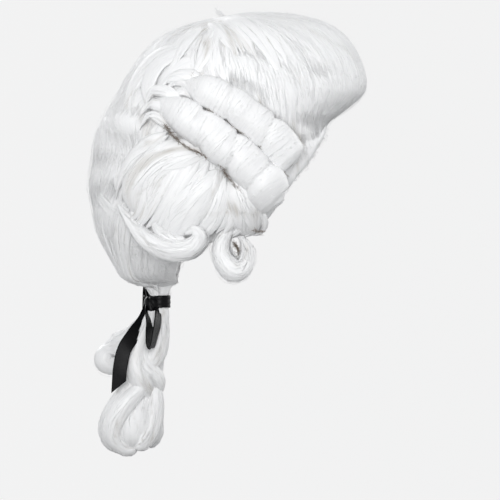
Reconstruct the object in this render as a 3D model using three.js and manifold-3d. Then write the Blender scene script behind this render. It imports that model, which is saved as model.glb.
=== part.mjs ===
// A man's powdered wig with a rolled-back pompadour, two side rolls over each ear,
// curled side hair and a queue tied at the nape with a black ribbon.
//
// Millimetres, +Z up. The wearer faces -Y, so the wearer's right side is -X.
// The origin is where the top of the head seats under the cap.
// In the tables, ahead is towards the face, down is below the top of the head and
// out is away from the middle plane.
import * as THREE from "three";
import { LoftGeometry } from "three/addons/geometries/LoftGeometry.js";
import { mergeVertices } from "three/addons/utils/BufferGeometryUtils.js";
import Module from "manifold-3d";

const wasm = await Module();
wasm.setup();

// The head and neck that the wig fits, which are not built
const HEAD_LENGTH = 197;
const HEAD_BREADTH = 155;
const HEAD_DOME = 100; // top of the head down to its widest level
const NECK_BREADTH = 114;
const NECK_BACK = 70.5; // back of the neck behind the head's axis
const NECK_FRONT = 55; // front of the neck ahead of the head's axis

// Cap and clearances
const CAP_WALL = 1.5;
const GAP = 0.3; // clearance that every two touching pieces keep

// Hair over the cap
const HAIR_RISE = 53; // hair over the top of the head
const POMPADOUR_REACH = 134.6; // head's axis to the foremost hair
const BACK_REACH = 155.8; // head's axis to the rearmost hair
const HAIR_HALF_WIDTH = 92; // middle plane to the side hair, without the rolls
const TIE_DROP = 245; // top of the head down to the tie
const TIE_BACK = 82.5; // head's axis to the tie's middle
const TIE_RADIUS = 9.5; // gathered hair inside the ribbon

// Side rolls
const UPPER_ROLL_RADIUS = 16.5;
const LOWER_ROLL_RADIUS = 19.5;
const ROLL_BORE_SHARE = 0.36; // hollow of a roll, as a share of its radius
const ROLL_FLATTENING = 0.82; // a roll's depth as a share of its height
const ROLL_LIFT = 8; // a roll's middle over the hair beneath

// Side hair under the rolls
const SIDE_LOCK_HALF_WIDTH = 28;
const SIDE_LOCK_HALF_DEPTH = 15;

// Curled ends at the ears
const RINGLET_RADIUS = 10;
const RINGLET_LOCK_RADIUS = 8.5;
const RINGLET_DROP = 36;

// Queue
const QUEUE_LENGTH = 160; // below the ribbon
const QUEUE_REACH = 74; // fore and aft
const QUEUE_HALF_WIDTH = 34;
const QUEUE_LOCK_RADIUS = 14;

// Ribbon
const RIBBON_WIDTH = 15;
const RIBBON_WALL = 1.1;
const BAND_HEIGHT = 13;
const KNOT_RADIUS = 9;
const BOW_SPREAD = 34; // knot's middle out to a loop's or a tail's middle
const TAIL_REACH = 33; // knot's middle back to a tail's middle
const LOOP_DROP = 48.5; // knot's middle down to the end of the hanging loop
const TAIL_DROP = 97; // knot's middle down to the tail's point

const CREST = [
  // The hair's outer form, a level for each row. down is a share of the height from
  // the hair's top to the tie, front and back are shares of the two reaches, half is
  // a share of the half width, square is the section's squareness, and gather is how
  // far the section has been drawn into the tie.
  { down: 0, front: 0.22, back: -0.13, half: 0.03, square: 2.1, gather: 0 },
  { down: 0.0055, front: 0.39, back: 0.03, half: 0.22, square: 2.1, gather: 0 },
  { down: 0.018, front: 0.56, back: 0.19, half: 0.4, square: 2.1, gather: 0 },
  { down: 0.046, front: 0.73, back: 0.37, half: 0.585, square: 2.2, gather: 0 },
  { down: 0.092, front: 0.866, back: 0.55, half: 0.74, square: 2.3, gather: 0 },
  { down: 0.157, front: 0.957, back: 0.667, half: 0.86, square: 2.4, gather: 0 },
  { down: 0.228, front: 1.0, back: 0.755, half: 0.93, square: 2.4, gather: 0 },
  { down: 0.278, front: 0.984, back: 0.81, half: 0.96, square: 2.45, gather: 0 },
  { down: 0.313, front: 0.914, back: 0.85, half: 0.975, square: 2.5, gather: 0 },
  { down: 0.352, front: 0.803, back: 0.885, half: 0.985, square: 2.6, gather: 0 },
  { down: 0.395, front: 0.7, back: 0.92, half: 0.99, square: 2.8, gather: 0 },
  { down: 0.484, front: 0.8, back: 0.973, half: 1.0, square: 2.3, gather: 0 },
  { down: 0.591, front: 0.76, back: 0.998, half: 0.995, square: 2.2, gather: 0 },
  { down: 0.68, front: 0.62, back: 0.993, half: 0.965, square: 2.2, gather: 0 },
  { down: 0.751, front: 0.47, back: 0.953, half: 0.9, square: 2.2, gather: 0 },
  { down: 0.815, front: 0.24, back: 0.898, half: 0.8, square: 2.1, gather: 0 },
  { down: 0.868, front: -0.03, back: 0.847, half: 0.66, square: 2, gather: 0 },
  { down: 0.904, front: -0.2, back: 0.813, half: 0.54, square: 2, gather: 0 },
  { down: 0.929, front: -0.31, back: 0.786, half: 0.44, square: 2, gather: 0 },
  { down: 0.945, front: -0.39, back: 0.721, half: 0.34, square: 2, gather: 0 },
  { down: 0.954, front: -0.44, back: 0.646, half: 0.25, square: 2, gather: 0.2 },
  { down: 0.972, front: -0.5, back: 0.602, half: 0.15, square: 2, gather: 0.75 },
  { down: 1, front: -0.54, back: 0.592, half: 0.1, square: 2, gather: 1 },
];

const HEAD_FORM = [
  // The head's own levels. down is a share of the dome's depth, front and back are
  // shares of half the head's length, half is a share of half its breadth, and neck
  // is how far the section has become the neck's.
  { down: 0, front: 0.04, back: 0.04, half: 0.04, neck: 0 },
  { down: 0.03, front: 0.243, back: 0.243, half: 0.243, neck: 0 },
  { down: 0.1, front: 0.436, back: 0.436, half: 0.436, neck: 0 },
  { down: 0.22, front: 0.626, back: 0.626, half: 0.626, neck: 0 },
  { down: 0.4, front: 0.8, back: 0.8, half: 0.8, neck: 0 },
  { down: 0.65, front: 0.937, back: 0.937, half: 0.937, neck: 0 },
  { down: 1, front: 1, back: 1, half: 1, neck: 0 },
  { down: 1.4, front: 0.985, back: 0.95, half: 0.965, neck: 0 },
  { down: 1.75, front: 0.95, back: 0.87, half: 0.9, neck: 0.15 },
  { down: 2.1, front: 0.9, back: 0.78, half: 0.8, neck: 0.75 },
  { down: 2.4, front: 0.6, back: 0.72, half: 0.75, neck: 1 },
  { down: 3.4, front: 0.6, back: 0.72, half: 0.75, neck: 1 },
];

// Edge of the hair seen from the side, from the forehead over the temple and under
// the ear to the nape: ahead in half head lengths, down in dome depths.
const HAIRLINE = [
  { ahead: 0.955, down: 0.641 },
  { ahead: 0.861, down: 0.827 },
  { ahead: 0.732, down: 1.039 },
  { ahead: 0.624, down: 1.166 },
  { ahead: 0.495, down: 1.336 },
  { ahead: 0.366, down: 1.548 },
  { ahead: 0.215, down: 1.72 },
  { ahead: 0, down: 1.8 },
  { ahead: -0.28, down: 1.84 },
  { ahead: -0.538, down: 1.93 },
  { ahead: -0.624, down: 2.06 },
  { ahead: -0.689, down: 2.24 },
];

// Edge of the cap under the hair, in the same shares.
const CAP_EDGE = [
  { ahead: 0.94, down: 0.6 },
  { ahead: 0.6, down: 1.1 },
  { ahead: 0.2, down: 1.5 },
  { ahead: -0.4, down: 1.66 },
  { ahead: -1.03, down: 1.76 },
];

// Middle of each side roll from its rear end to its front end, in the same shares.
// out is a share of the roll's lift, radius is a share of the roll's radius.
const UPPER_ROLL = [
  { ahead: -0.42, down: 0.31, out: 1, radius: 0.8 },
  { ahead: -0.22, down: 0.4, out: 1, radius: 0.9 },
  { ahead: -0.01, down: 0.525, out: 1, radius: 0.94 },
  { ahead: 0.2, down: 0.685, out: 1, radius: 0.97 },
  { ahead: 0.39, down: 0.87, out: 1, radius: 1.02 },
  { ahead: 0.56, down: 1.09, out: 1.12, radius: 1.03 },
];
const LOWER_ROLL = [
  { ahead: -0.67, down: 0.54, out: 1, radius: 0.82 },
  { ahead: -0.43, down: 0.7, out: 1, radius: 0.92 },
  { ahead: -0.215, down: 0.85, out: 1, radius: 0.97 },
  { ahead: -0.02, down: 1.005, out: 1.06, radius: 1.0 },
  { ahead: 0.155, down: 1.17, out: 1.19, radius: 1.02 },
  { ahead: 0.29, down: 1.34, out: 1.5, radius: 1.02 },
  { ahead: 0.375, down: 1.47, out: 1.75, radius: 0.92 },
];

// Locks of side hair from root to end, in the same shares. wide is a share of a side
// lock's half width, thick and out over the hair beneath are shares of its half depth.
const REAR_WAVE = [
  { ahead: -0.26, down: 1.0, out: 0, wide: 0.32, thick: 0.33 },
  { ahead: -0.52, down: 1.02, out: 0.07, wide: 0.82, thick: 0.73 },
  { ahead: -0.8, down: 1.15, out: 0.07, wide: 1.04, thick: 0.87 },
  { ahead: -1.0, down: 1.38, out: 0.07, wide: 0.93, thick: 0.8 },
  { ahead: -1.06, down: 1.6, out: 0, wide: 0.36, thick: 0.27 },
];
const MIDDLE_WAVE = [
  { ahead: -0.16, down: 1.16, out: 0, wide: 0.32, thick: 0.33 },
  { ahead: -0.34, down: 1.33, out: 0.13, wide: 0.71, thick: 0.8 },
  { ahead: -0.53, down: 1.53, out: 0.13, wide: 0.86, thick: 0.93 },
  { ahead: -0.68, down: 1.72, out: 0.07, wide: 0.71, thick: 0.73 },
  { ahead: -0.78, down: 1.88, out: 0, wide: 0.29, thick: 0.27 },
];
const FRONT_PUFF = [
  { ahead: -0.05, down: 1.22, out: 0, wide: 0.43, thick: 0.47 },
  { ahead: 0, down: 1.37, out: 0.2, wide: 0.82, thick: 0.93 },
  { ahead: 0.06, down: 1.54, out: 0.27, wide: 0.93, thick: 1.07 },
  { ahead: 0.09, down: 1.69, out: 0.2, wide: 0.79, thick: 0.87 },
  { ahead: 0.1, down: 1.82, out: 0.07, wide: 0.32, thick: 0.33 },
];
const REAR_CURL = [
  { ahead: -0.8, down: 1.78, out: 0.2, wide: 0.14, thick: 0.4 },
  { ahead: -0.73, down: 1.93, out: 0.33, wide: 0.25, thick: 0.6 },
  { ahead: -0.54, down: 2.02, out: 0.47, wide: 0.3, thick: 0.73 },
  { ahead: -0.38, down: 1.92, out: 0.53, wide: 0.25, thick: 0.73 },
  { ahead: -0.45, down: 1.8, out: 0.53, wide: 0.18, thick: 0.6 },
  { ahead: -0.55, down: 1.85, out: 0.53, wide: 0.07, thick: 0.33 },
];

// The ringlet from its root to its end. turn is in whole turns, down is a share of the
// ringlet's drop, reach and lock are shares of its two radii.
const RINGLET = [
  { turn: 0, down: -0.2, reach: 0.8, lock: 0.6 },
  { turn: 0.35, down: 0.12, reach: 1, lock: 0.75 },
  { turn: 0.7, down: 0.38, reach: 1, lock: 0.8 },
  { turn: 1.05, down: 0.7, reach: 1, lock: 0.95 },
  { turn: 1.35, down: 0.98, reach: 0.6, lock: 1 },
  { turn: 1.6, down: 1, reach: 0.35, lock: 0.55 },
];

// Locks of the queue. back is a share of the queue's reach behind the tie's middle,
// down is a share of the queue's length, out is a share of its half width towards
// the wearer's right, and radius is a share of a queue lock's radius.
const QUEUE_LOCKS = [
  [
    { back: 0, down: -0.02, out: 0, radius: 0.64 },
    { back: 0.06, down: 0.16, out: 0, radius: 0.86 },
    { back: 0.12, down: 0.4, out: 0, radius: 0.86 },
    { back: 0.22, down: 0.62, out: 0, radius: 0.86 },
    { back: 0.3, down: 0.87, out: 0, radius: 1 },
  ],
  [
    { back: 0, down: -0.02, out: 0.05, radius: 0.64 },
    { back: 0.01, down: 0.13, out: 0.15, radius: 0.79 },
    { back: 0.06, down: 0.3, out: 0.4, radius: 0.86 },
    { back: 0.22, down: 0.39, out: 0.55, radius: 0.71 },
    { back: 0.4, down: 0.43, out: 0.3, radius: 0.36 },
  ],
  [
    { back: 0.06, down: -0.02, out: 0, radius: 0.57 },
    { back: 0.2, down: 0.15, out: 0.4, radius: 0.71 },
    { back: 0.34, down: 0.33, out: 0.6, radius: 0.86 },
    { back: 0.24, down: 0.49, out: 0.5, radius: 0.93 },
    { back: 0.1, down: 0.6, out: 0.1, radius: 0.57 },
  ],
  [
    { back: 0.08, down: 0.0, out: -0.1, radius: 0.5 },
    { back: 0.32, down: 0.16, out: -0.35, radius: 0.79 },
    { back: 0.6, down: 0.28, out: -0.35, radius: 0.93 },
    { back: 0.76, down: 0.35, out: -0.15, radius: 1 },
    { back: 0.56, down: 0.42, out: 0.0, radius: 0.57 },
  ],
  [
    { back: 0.24, down: 0.4, out: 0.2, radius: 0.79 },
    { back: 0.42, down: 0.56, out: 0.35, radius: 1 },
    { back: 0.6, down: 0.72, out: 0.4, radius: 1.21 },
    { back: 0.62, down: 0.85, out: 0.25, radius: 1.21 },
    { back: 0.4, down: 0.93, out: 0, radius: 0.71 },
  ],
  [
    { back: 0.16, down: 0.46, out: -0.3, radius: 0.79 },
    { back: 0.24, down: 0.64, out: -0.4, radius: 1 },
    { back: 0.16, down: 0.81, out: -0.25, radius: 1.14 },
    { back: 0.24, down: 0.92, out: -0.1, radius: 0.71 },
  ],
];

// Ribbon from the knot and back again for a loop, or down to its cut end for a tail.
// From the knot's middle, out is a share of the bow's spread, down is a share of the
// drop, and back is a share of the knot's radius for a loop and of the tail's reach for
// a tail. wide and slant, how far one edge runs on, are shares of the ribbon's width.
const HANGING_LOOP = [
  { out: 0.12, back: -0.44, down: 0.06, wide: 0.45, slant: 0 },
  { out: 0.38, back: -0.89, down: 0.23, wide: 0.8, slant: 0 },
  { out: 0.68, back: -0.83, down: 0.45, wide: 1, slant: 0 },
  { out: 0.88, back: -0.58, down: 0.69, wide: 1, slant: 0 },
  { out: 1, back: -0.31, down: 0.92, wide: 1, slant: 0 },
  { out: 1.01, back: -0.09, down: 0.99, wide: 1, slant: 0 },
  { out: 1, back: 0.16, down: 0.92, wide: 1, slant: 0 },
  { out: 0.88, back: 0.18, down: 0.69, wide: 1, slant: 0 },
  { out: 0.68, back: 0.11, down: 0.45, wide: 1, slant: 0 },
  { out: 0.38, back: 0.33, down: 0.23, wide: 0.8, slant: 0 },
  { out: 0.12, back: 0.44, down: 0.09, wide: 0.45, slant: 0 },
];
const RISING_LOOP = [
  { out: 0.09, back: 0.22, down: -0.06, wide: 0.4, slant: 0 },
  { out: 0.26, back: 0.33, down: -0.3, wide: 0.6, slant: 0 },
  { out: 0.53, back: 0.33, down: -0.34, wide: 0.8, slant: 0 },
  { out: 0.79, back: 0.33, down: -0.2, wide: 0.95, slant: 0 },
  { out: 0.97, back: 0.33, down: 0.1, wide: 1, slant: 0 },
  { out: 1.03, back: 0.33, down: 0.42, wide: 1, slant: 0 },
  { out: 0.99, back: 0.33, down: 0.5, wide: 1, slant: 0 },
  { out: 0.93, back: 0.33, down: 0.42, wide: 1, slant: 0 },
  { out: 0.82, back: 0.33, down: 0.14, wide: 1, slant: 0 },
  { out: 0.59, back: 0.33, down: -0.08, wide: 0.9, slant: 0 },
  { out: 0.32, back: 0.33, down: -0.1, wide: 0.6, slant: 0 },
  { out: 0.09, back: 0.22, down: 0.04, wide: 0.4, slant: 0 },
];
const TAIL = [
  { out: 0.12, back: 0.09, down: 0.05, wide: 0.6, slant: 0 },
  { out: 0.44, back: 0.24, down: 0.2, wide: 0.85, slant: 0 },
  { out: 0.76, back: 0.55, down: 0.36, wide: 1, slant: 0 },
  { out: 0.94, back: 0.82, down: 0.51, wide: 1, slant: 0 },
  { out: 1, back: 0.95, down: 0.7, wide: 1, slant: 0 },
  { out: 0.97, back: 1, down: 0.92, wide: 1, slant: -0.93 },
];

const HAIR_SPAN = HAIR_RISE + TIE_DROP;
const HALF_HEAD = HEAD_LENGTH / 2;
const FAR = 2 * HAIR_SPAN; // past everything, for cutting blocks
const AROUND_HAIR = 32;
const AROUND_HEAD = 24;
const AROUND_ROLL = 12;
const AROUND_BORE = 8;
const AROUND_LOCK = 10;
const AROUND_QUEUE = 8;
const AROUND_RINGLET = 7;
const STEPS_PER_ROW = 2; // loft steps between two rows of a lock's table

const hairColour = new THREE.MeshStandardMaterial({
  color: 0xf1f1f2,
  roughness: 0.45,
  metalness: 0,
});
const netColour = new THREE.MeshStandardMaterial({
  color: 0xb79f83,
  roughness: 0.85,
  metalness: 0,
});
const ribbonColour = new THREE.MeshStandardMaterial({
  color: 0x0c0c0e,
  roughness: 0.35,
  metalness: 0,
});

const mix = (a, b, share) => a + (b - a) * share;

// A geometry as a closed solid, with its faces pointing outwards.
function solidOf(geometry) {
  const bare = new THREE.BufferGeometry();
  bare.setAttribute("position", geometry.getAttribute("position"));
  bare.setIndex(geometry.index);
  const merged = mergeVertices(bare, 1e-4);
  const triVerts = [];
  for (let i = 0; i < merged.index.count; i += 3) {
    const [a, b, c] = [0, 1, 2].map((k) => merged.index.getX(i + k));
    if (a !== b && b !== c && c !== a) triVerts.push(a, b, c);
  }
  const build = (triangles) =>
    new wasm.Manifold(
      new wasm.Mesh({
        numProp: 3,
        vertProperties: new Float32Array(merged.attributes.position.array),
        triVerts: new Uint32Array(triangles),
      }),
    );
  const made = build(triVerts);
  return made.volume() > 0 ? made : build(triVerts.reverse());
}

function geometryOf(solid) {
  const mesh = solid.getMesh();
  const positions = new Float32Array(mesh.numVert * 3);
  for (let i = 0; i < mesh.numVert; i++) {
    const from = i * mesh.numProp;
    positions.set(mesh.vertProperties.subarray(from, from + 3), i * 3);
  }
  return new THREE.BufferGeometry()
    .setAttribute("position", new THREE.BufferAttribute(positions, 3))
    .setIndex(new THREE.BufferAttribute(mesh.triVerts, 1));
}

const mirrored = (solid) => solidOf(geometryOf(solid).scale(-1, 1, 1));

// The biggest body of a cut solid, without crumbs left along the cut.
const mainBody = (solid) =>
  solid.decompose().reduce((a, b) => (a.volume() > b.volume() ? a : b));

const cutBy = (solid, cutters) =>
  cutters.reduce((left, cutter) => left.subtract(cutter), solid);

const loft = (sections) =>
  solidOf(new LoftGeometry(sections, { capStart: true, capEnd: true }));

// A level section: a superellipse between its front and its back.
function levelRing({ z, front, back, half, square }, count) {
  const middle = (back - front) / 2;
  const reach = (back + front) / 2;
  return Array.from({ length: count }, (_, i) => {
    const turn = (i / count) * 2 * Math.PI;
    const [c, s] = [Math.cos(turn), Math.sin(turn)];
    const x = -half * Math.sign(s) * Math.abs(s) ** (2 / square);
    const y = middle - reach * Math.sign(c) * Math.abs(c) ** (2 / square);
    return new THREE.Vector3(x, y, z);
  });
}

// One level of the hair's outer form, grown outwards by a clearance.
function hairLevel(row, grown) {
  return {
    z: HAIR_RISE - row.down * HAIR_SPAN + grown * (1 - 2 * row.down),
    front: mix(row.front * POMPADOUR_REACH, TIE_RADIUS - TIE_BACK, row.gather) + grown,
    back: mix(row.back * BACK_REACH, TIE_BACK + TIE_RADIUS, row.gather) + grown,
    half: mix(row.half * HAIR_HALF_WIDTH, TIE_RADIUS, row.gather) + grown,
    square: row.square,
  };
}

const hairForm = (grown) =>
  loft(CREST.map((row) => levelRing(hairLevel(row, grown), AROUND_HAIR)));

// How far out the hair's surface lies at a place seen from the side.
function hairOut(y, z) {
  const levels = CREST.map((row) => hairLevel(row, 0));
  const next = levels.findIndex((level) => level.z <= z);
  const low = levels[next < 0 ? levels.length - 1 : Math.max(next, 1)];
  const high = levels[Math.max(levels.indexOf(low) - 1, 0)];
  const share = (high.z - z) / Math.max(high.z - low.z, 1e-6);
  const at = (key) => mix(high[key], low[key], Math.min(1, share));
  const middle = (at("back") - at("front")) / 2;
  const reach = (at("back") + at("front")) / 2;
  const along = Math.min(0.98, Math.abs((y - middle) / reach));
  return at("half") * (1 - along ** at("square")) ** (1 / at("square"));
}

// The head and neck, grown outwards by a wall or a clearance.
const headForm = (grown) =>
  loft(
    HEAD_FORM.map((row) =>
      levelRing(
        {
          z: -row.down * HEAD_DOME + grown * Math.max(0, 1 - row.down),
          front: mix(row.front * HALF_HEAD, NECK_FRONT, row.neck) + grown,
          back: mix(row.back * HALF_HEAD, NECK_BACK, row.neck) + grown,
          half: mix((row.half * HEAD_BREADTH) / 2, NECK_BREADTH / 2, row.neck) + grown,
          square: 2,
        },
        AROUND_HEAD,
      ),
    ),
  );

// All that lies ahead of and below an edge seen from the side.
function aheadOf(edge) {
  const first = edge[0];
  const last = edge[edge.length - 1];
  const points = [
    [FAR, -first.down * HEAD_DOME],
    ...edge.map(({ ahead, down }) => [ahead * HALF_HEAD, -down * HEAD_DOME]),
    [last.ahead * HALF_HEAD, -FAR],
    [FAR, -FAR],
  ];
  const outline = new THREE.Shape(points.map(([x, y]) => new THREE.Vector2(x, y)));
  const block = new THREE.ExtrudeGeometry(outline, { depth: FAR, bevelEnabled: false });
  // The outline's first axis points ahead, which is -Y.
  block.rotateX(Math.PI / 2);
  block.rotateZ(-Math.PI / 2);
  block.translate(FAR / 2, 0, 0);
  return solidOf(block);
}

// A value of a table at a share of its length, on a smooth curve through its rows.
function tableAt(rows, key, share) {
  const at = share * (rows.length - 1);
  const i = Math.min(Math.floor(at), rows.length - 2);
  const row = (k) => rows[Math.min(Math.max(k, 0), rows.length - 1)][key];
  const t = at - i;
  const [a, b, c, d] = [row(i - 1), row(i), row(i + 1), row(i + 2)];
  return (
    b +
    0.5 * t * (c - a + t * (2 * a - 5 * b + 4 * c - d + t * (3 * (b - c) + d - a)))
  );
}

// A solid along a path. size gives the half sizes in the plane that the path bends in
// and across it, and outward gives the direction across.
function alongPath(place, size, outward, steps, around = AROUND_LOCK) {
  const sections = [];
  for (let i = 0; i <= steps; i++) {
    const share = i / steps;
    const step = 0.5 / steps;
    const centre = place(share);
    const tangent = place(Math.min(1, share + step))
      .sub(place(Math.max(0, share - step)))
      .normalize();
    const aside = new THREE.Vector3().crossVectors(tangent, outward(share)).normalize();
    const across = new THREE.Vector3().crossVectors(tangent, aside);
    const { inPlane, through } = size(share);
    sections.push(
      Array.from({ length: around }, (_, k) => {
        const turn = (k / around) * 2 * Math.PI;
        return centre
          .clone()
          .addScaledVector(aside, inPlane * Math.cos(turn))
          .addScaledVector(across, through * Math.sin(turn));
      }),
    );
  }
  return loft(sections);
}

const OUTWARD = () => new THREE.Vector3(1, 0, 0);

// A place on the side of the hair, from shares of the head's sizes.
function sidePlace(ahead, down, out) {
  const [y, z] = [-ahead * HALF_HEAD, -down * HEAD_DOME];
  return new THREE.Vector3(hairOut(y, z) + out, y, z);
}

const placeOn = (rows, outUnit) => (share) =>
  sidePlace(
    tableAt(rows, "ahead", share),
    tableAt(rows, "down", share),
    tableAt(rows, "out", share) * outUnit,
  );

// A side roll: a hollow roll of hair, open at both ends.
function roll(rows, radius, grown, hollow) {
  const place = placeOn(rows, ROLL_LIFT);
  const section = (scale) => (share) => {
    const r = tableAt(rows, "radius", share) * radius * scale;
    return { inPlane: r + grown, through: r * ROLL_FLATTENING + grown };
  };
  const steps = (rows.length - 1) * STEPS_PER_ROW;
  const body = alongPath(place, section(1), OUTWARD, steps, AROUND_ROLL);
  if (!hollow) return body;
  const longer = (share) => place(mix(-0.03, 1.03, share));
  const bore = alongPath(longer, section(ROLL_BORE_SHARE), OUTWARD, rows.length, AROUND_BORE);
  return body.subtract(bore);
}

// A lock of side hair on a table of places, rounded at its ends.
function sideLock(rows, grown) {
  const size = (share) => ({
    inPlane: tableAt(rows, "wide", share) * SIDE_LOCK_HALF_WIDTH + grown,
    through: tableAt(rows, "thick", share) * SIDE_LOCK_HALF_DEPTH + grown,
  });
  const place = placeOn(rows, SIDE_LOCK_HALF_DEPTH);
  return alongPath(place, size, OUTWARD, (rows.length - 1) * STEPS_PER_ROW);
}

// The hanging ringlet ahead of the ear: a corkscrew under the front puff.
function ringlet(grown) {
  const end = FRONT_PUFF[FRONT_PUFF.length - 1];
  const top = sidePlace(end.ahead - 0.14, end.down + 0.07, 0.3 * RINGLET_RADIUS);
  const place = (share) => {
    const turn = tableAt(RINGLET, "turn", share) * 2 * Math.PI;
    const radius = tableAt(RINGLET, "reach", share) * RINGLET_RADIUS;
    return new THREE.Vector3(
      top.x + radius * Math.sin(turn),
      top.y + radius * Math.cos(turn),
      top.z - tableAt(RINGLET, "down", share) * RINGLET_DROP,
    );
  };
  const size = (share) => {
    const r = tableAt(RINGLET, "lock", share) * RINGLET_LOCK_RADIUS;
    return { inPlane: r + grown, through: r + grown };
  };
  const outward = () => new THREE.Vector3(0, 0, 1);
  return alongPath(place, size, outward, 13, AROUND_RINGLET);
}

const BAND_TOP = -TIE_DROP - GAP;
const BAND_BOTTOM = BAND_TOP - BAND_HEIGHT;
const BAND_RADIUS = TIE_RADIUS + GAP + RIBBON_WALL;
const KNOT_PLACE = new THREE.Vector3(
  0,
  TIE_BACK + TIE_RADIUS,
  (BAND_TOP + BAND_BOTTOM) / 2,
);

// An upright cylinder on the tie's middle.
function tieCylinder(radius, top, bottom) {
  const cylinder = new THREE.CylinderGeometry(radius, radius, top - bottom, 20);
  cylinder.rotateX(Math.PI / 2);
  cylinder.translate(0, TIE_BACK, (top + bottom) / 2);
  return solidOf(cylinder);
}

const tieRoom = tieCylinder(BAND_RADIUS + GAP, BAND_TOP + FAR, BAND_BOTTOM - GAP);

// The queue's locks, joined to the gathered hair that the ribbon holds.
function queue() {
  const locks = QUEUE_LOCKS.map((rows) => {
    const place = (share) =>
      new THREE.Vector3(
        -tableAt(rows, "out", share) * QUEUE_HALF_WIDTH,
        TIE_BACK + tableAt(rows, "back", share) * QUEUE_REACH,
        BAND_BOTTOM - tableAt(rows, "down", share) * QUEUE_LENGTH,
      );
    const size = (share) => {
      const r = tableAt(rows, "radius", share) * QUEUE_LOCK_RADIUS;
      return { inPlane: r, through: r };
    };
    return alongPath(place, size, OUTWARD, rows.length + 1, AROUND_QUEUE);
  });
  const above = new THREE.BoxGeometry(FAR, FAR, FAR);
  above.translate(0, 0, BAND_BOTTOM - GAP + FAR / 2);
  const hanging = locks
    .reduce((joined, lock) => joined.add(lock))
    .subtract(solidOf(above));
  return hanging.add(tieCylinder(TIE_RADIUS, BAND_TOP, BAND_BOTTOM - TIE_RADIUS));
}

function knot(grown) {
  const ball = new THREE.SphereGeometry(KNOT_RADIUS + grown, 12, 8);
  ball.translate(KNOT_PLACE.x, KNOT_PLACE.y, KNOT_PLACE.z);
  return solidOf(ball);
}

// A strip of ribbon on a table of places beside the knot. widthway gives the
// direction of its width from the direction in which it runs.
function strip(rows, reach, widthway, grown) {
  const place = (share) =>
    new THREE.Vector3(
      tableAt(rows, "out", share) * BOW_SPREAD,
      tableAt(rows, "back", share) * reach.back,
      -tableAt(rows, "down", share) * reach.drop,
    ).add(KNOT_PLACE);
  const steps = (rows.length - 1) * STEPS_PER_ROW;
  const sections = [];
  for (let i = 0; i <= steps; i++) {
    const share = i / steps;
    const step = 0.25 / steps;
    const tangent = place(Math.min(1, share + step))
      .sub(place(Math.max(0, share - step)))
      .normalize();
    const aside = widthway(tangent);
    aside.addScaledVector(tangent, -aside.dot(tangent)).normalize();
    const across = new THREE.Vector3().crossVectors(tangent, aside);
    const w = (tableAt(rows, "wide", share) * RIBBON_WIDTH) / 2 + grown;
    const t = RIBBON_WALL / 2 + grown;
    const slant = (tableAt(rows, "slant", share) * RIBBON_WIDTH) / 2;
    sections.push(
      [
        [-1, -1],
        [1, -1],
        [1, 1],
        [-1, 1],
      ].map(([a, b]) =>
        place(share)
          .addScaledVector(aside, a * w)
          .addScaledVector(across, b * t)
          .addScaledVector(tangent, a * slant),
      ),
    );
  }
  return loft(sections);
}

const sideways = () => new THREE.Vector3(1, 0, 0);
const backwards = () => new THREE.Vector3(0, 1, 0);
const inTheSidePlane = (tangent) =>
  new THREE.Vector3().crossVectors(tangent, new THREE.Vector3(1, 0, 0));

const loopReach = { back: KNOT_RADIUS, drop: LOOP_DROP };
const tailReach = { back: TAIL_REACH, drop: TAIL_DROP };
const hangingLoop = (grown) => strip(HANGING_LOOP, loopReach, sideways, grown);
const risingLoop = (grown) => strip(RISING_LOOP, loopReach, backwards, grown);
const tail = (grown) => strip(TAIL, tailReach, inTheSidePlane, grown);

const group = new THREE.Group();

function add(name, solid, material) {
  const mesh = new THREE.Mesh(geometryOf(mainBody(solid)), material);
  mesh.name = name;
  group.add(mesh);
}

function addPair(name, solid, material) {
  add(`${name}_left`, solid, material);
  add(`${name}_right`, mirrored(solid), material);
}

const both = (solids) => [...solids, ...solids.map(mirrored)];

// Cap
const cap = cutBy(headForm(CAP_WALL), [headForm(0), aheadOf(CAP_EDGE)]);
add("wig_cap", cap, netColour);

// Side hair, each piece cut clear of those that lie over it
const headRoom = headForm(CAP_WALL + GAP);
const upperRoll = roll(UPPER_ROLL, UPPER_ROLL_RADIUS, 0, true).subtract(headRoom);
const upperRollRoom = roll(UPPER_ROLL, UPPER_ROLL_RADIUS, GAP, false);
const lowerRoll = cutBy(roll(LOWER_ROLL, LOWER_ROLL_RADIUS, 0, true), [
  upperRollRoom,
  headRoom,
]);
const lowerRollRoom = roll(LOWER_ROLL, LOWER_ROLL_RADIUS, GAP, false);
const rollRooms = [upperRollRoom, lowerRollRoom];
const hairUnder = hairForm(GAP);

const ringletRoom = ringlet(GAP);
const rearCurlRoom = sideLock(REAR_CURL, GAP);
const puffRoom = sideLock(FRONT_PUFF, GAP);
const middleRoom = sideLock(MIDDLE_WAVE, GAP);

const frontPuff = cutBy(sideLock(FRONT_PUFF, 0), [...rollRooms, hairUnder, headRoom, ringletRoom]);
const middleWave = cutBy(sideLock(MIDDLE_WAVE, 0), [
  ...rollRooms,
  hairUnder,
  headRoom,
  puffRoom,
  ringletRoom,
  rearCurlRoom,
]);
const rearWave = cutBy(sideLock(REAR_WAVE, 0), [
  ...rollRooms,
  hairUnder,
  headRoom,
  middleRoom,
  rearCurlRoom,
]);

addPair("upper_roll", upperRoll, hairColour);
addPair("lower_roll", lowerRoll, hairColour);
addPair("front_puff", frontPuff, hairColour);
addPair("middle_wave", middleWave, hairColour);
addPair("rear_wave", rearWave, hairColour);
addPair("ear_ringlet", cutBy(ringlet(0), [headRoom]), hairColour);
addPair("rear_curl", cutBy(sideLock(REAR_CURL, 0), [headRoom]), hairColour);

// Pompadour, crown and back hair, hollow for the cap and the head
const crown = cutBy(hairForm(0), [
  headRoom,
  aheadOf(HAIRLINE),
  ...both([...rollRooms, ringletRoom, rearCurlRoom]),
]);
add("crown_hair", crown, hairColour);

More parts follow.
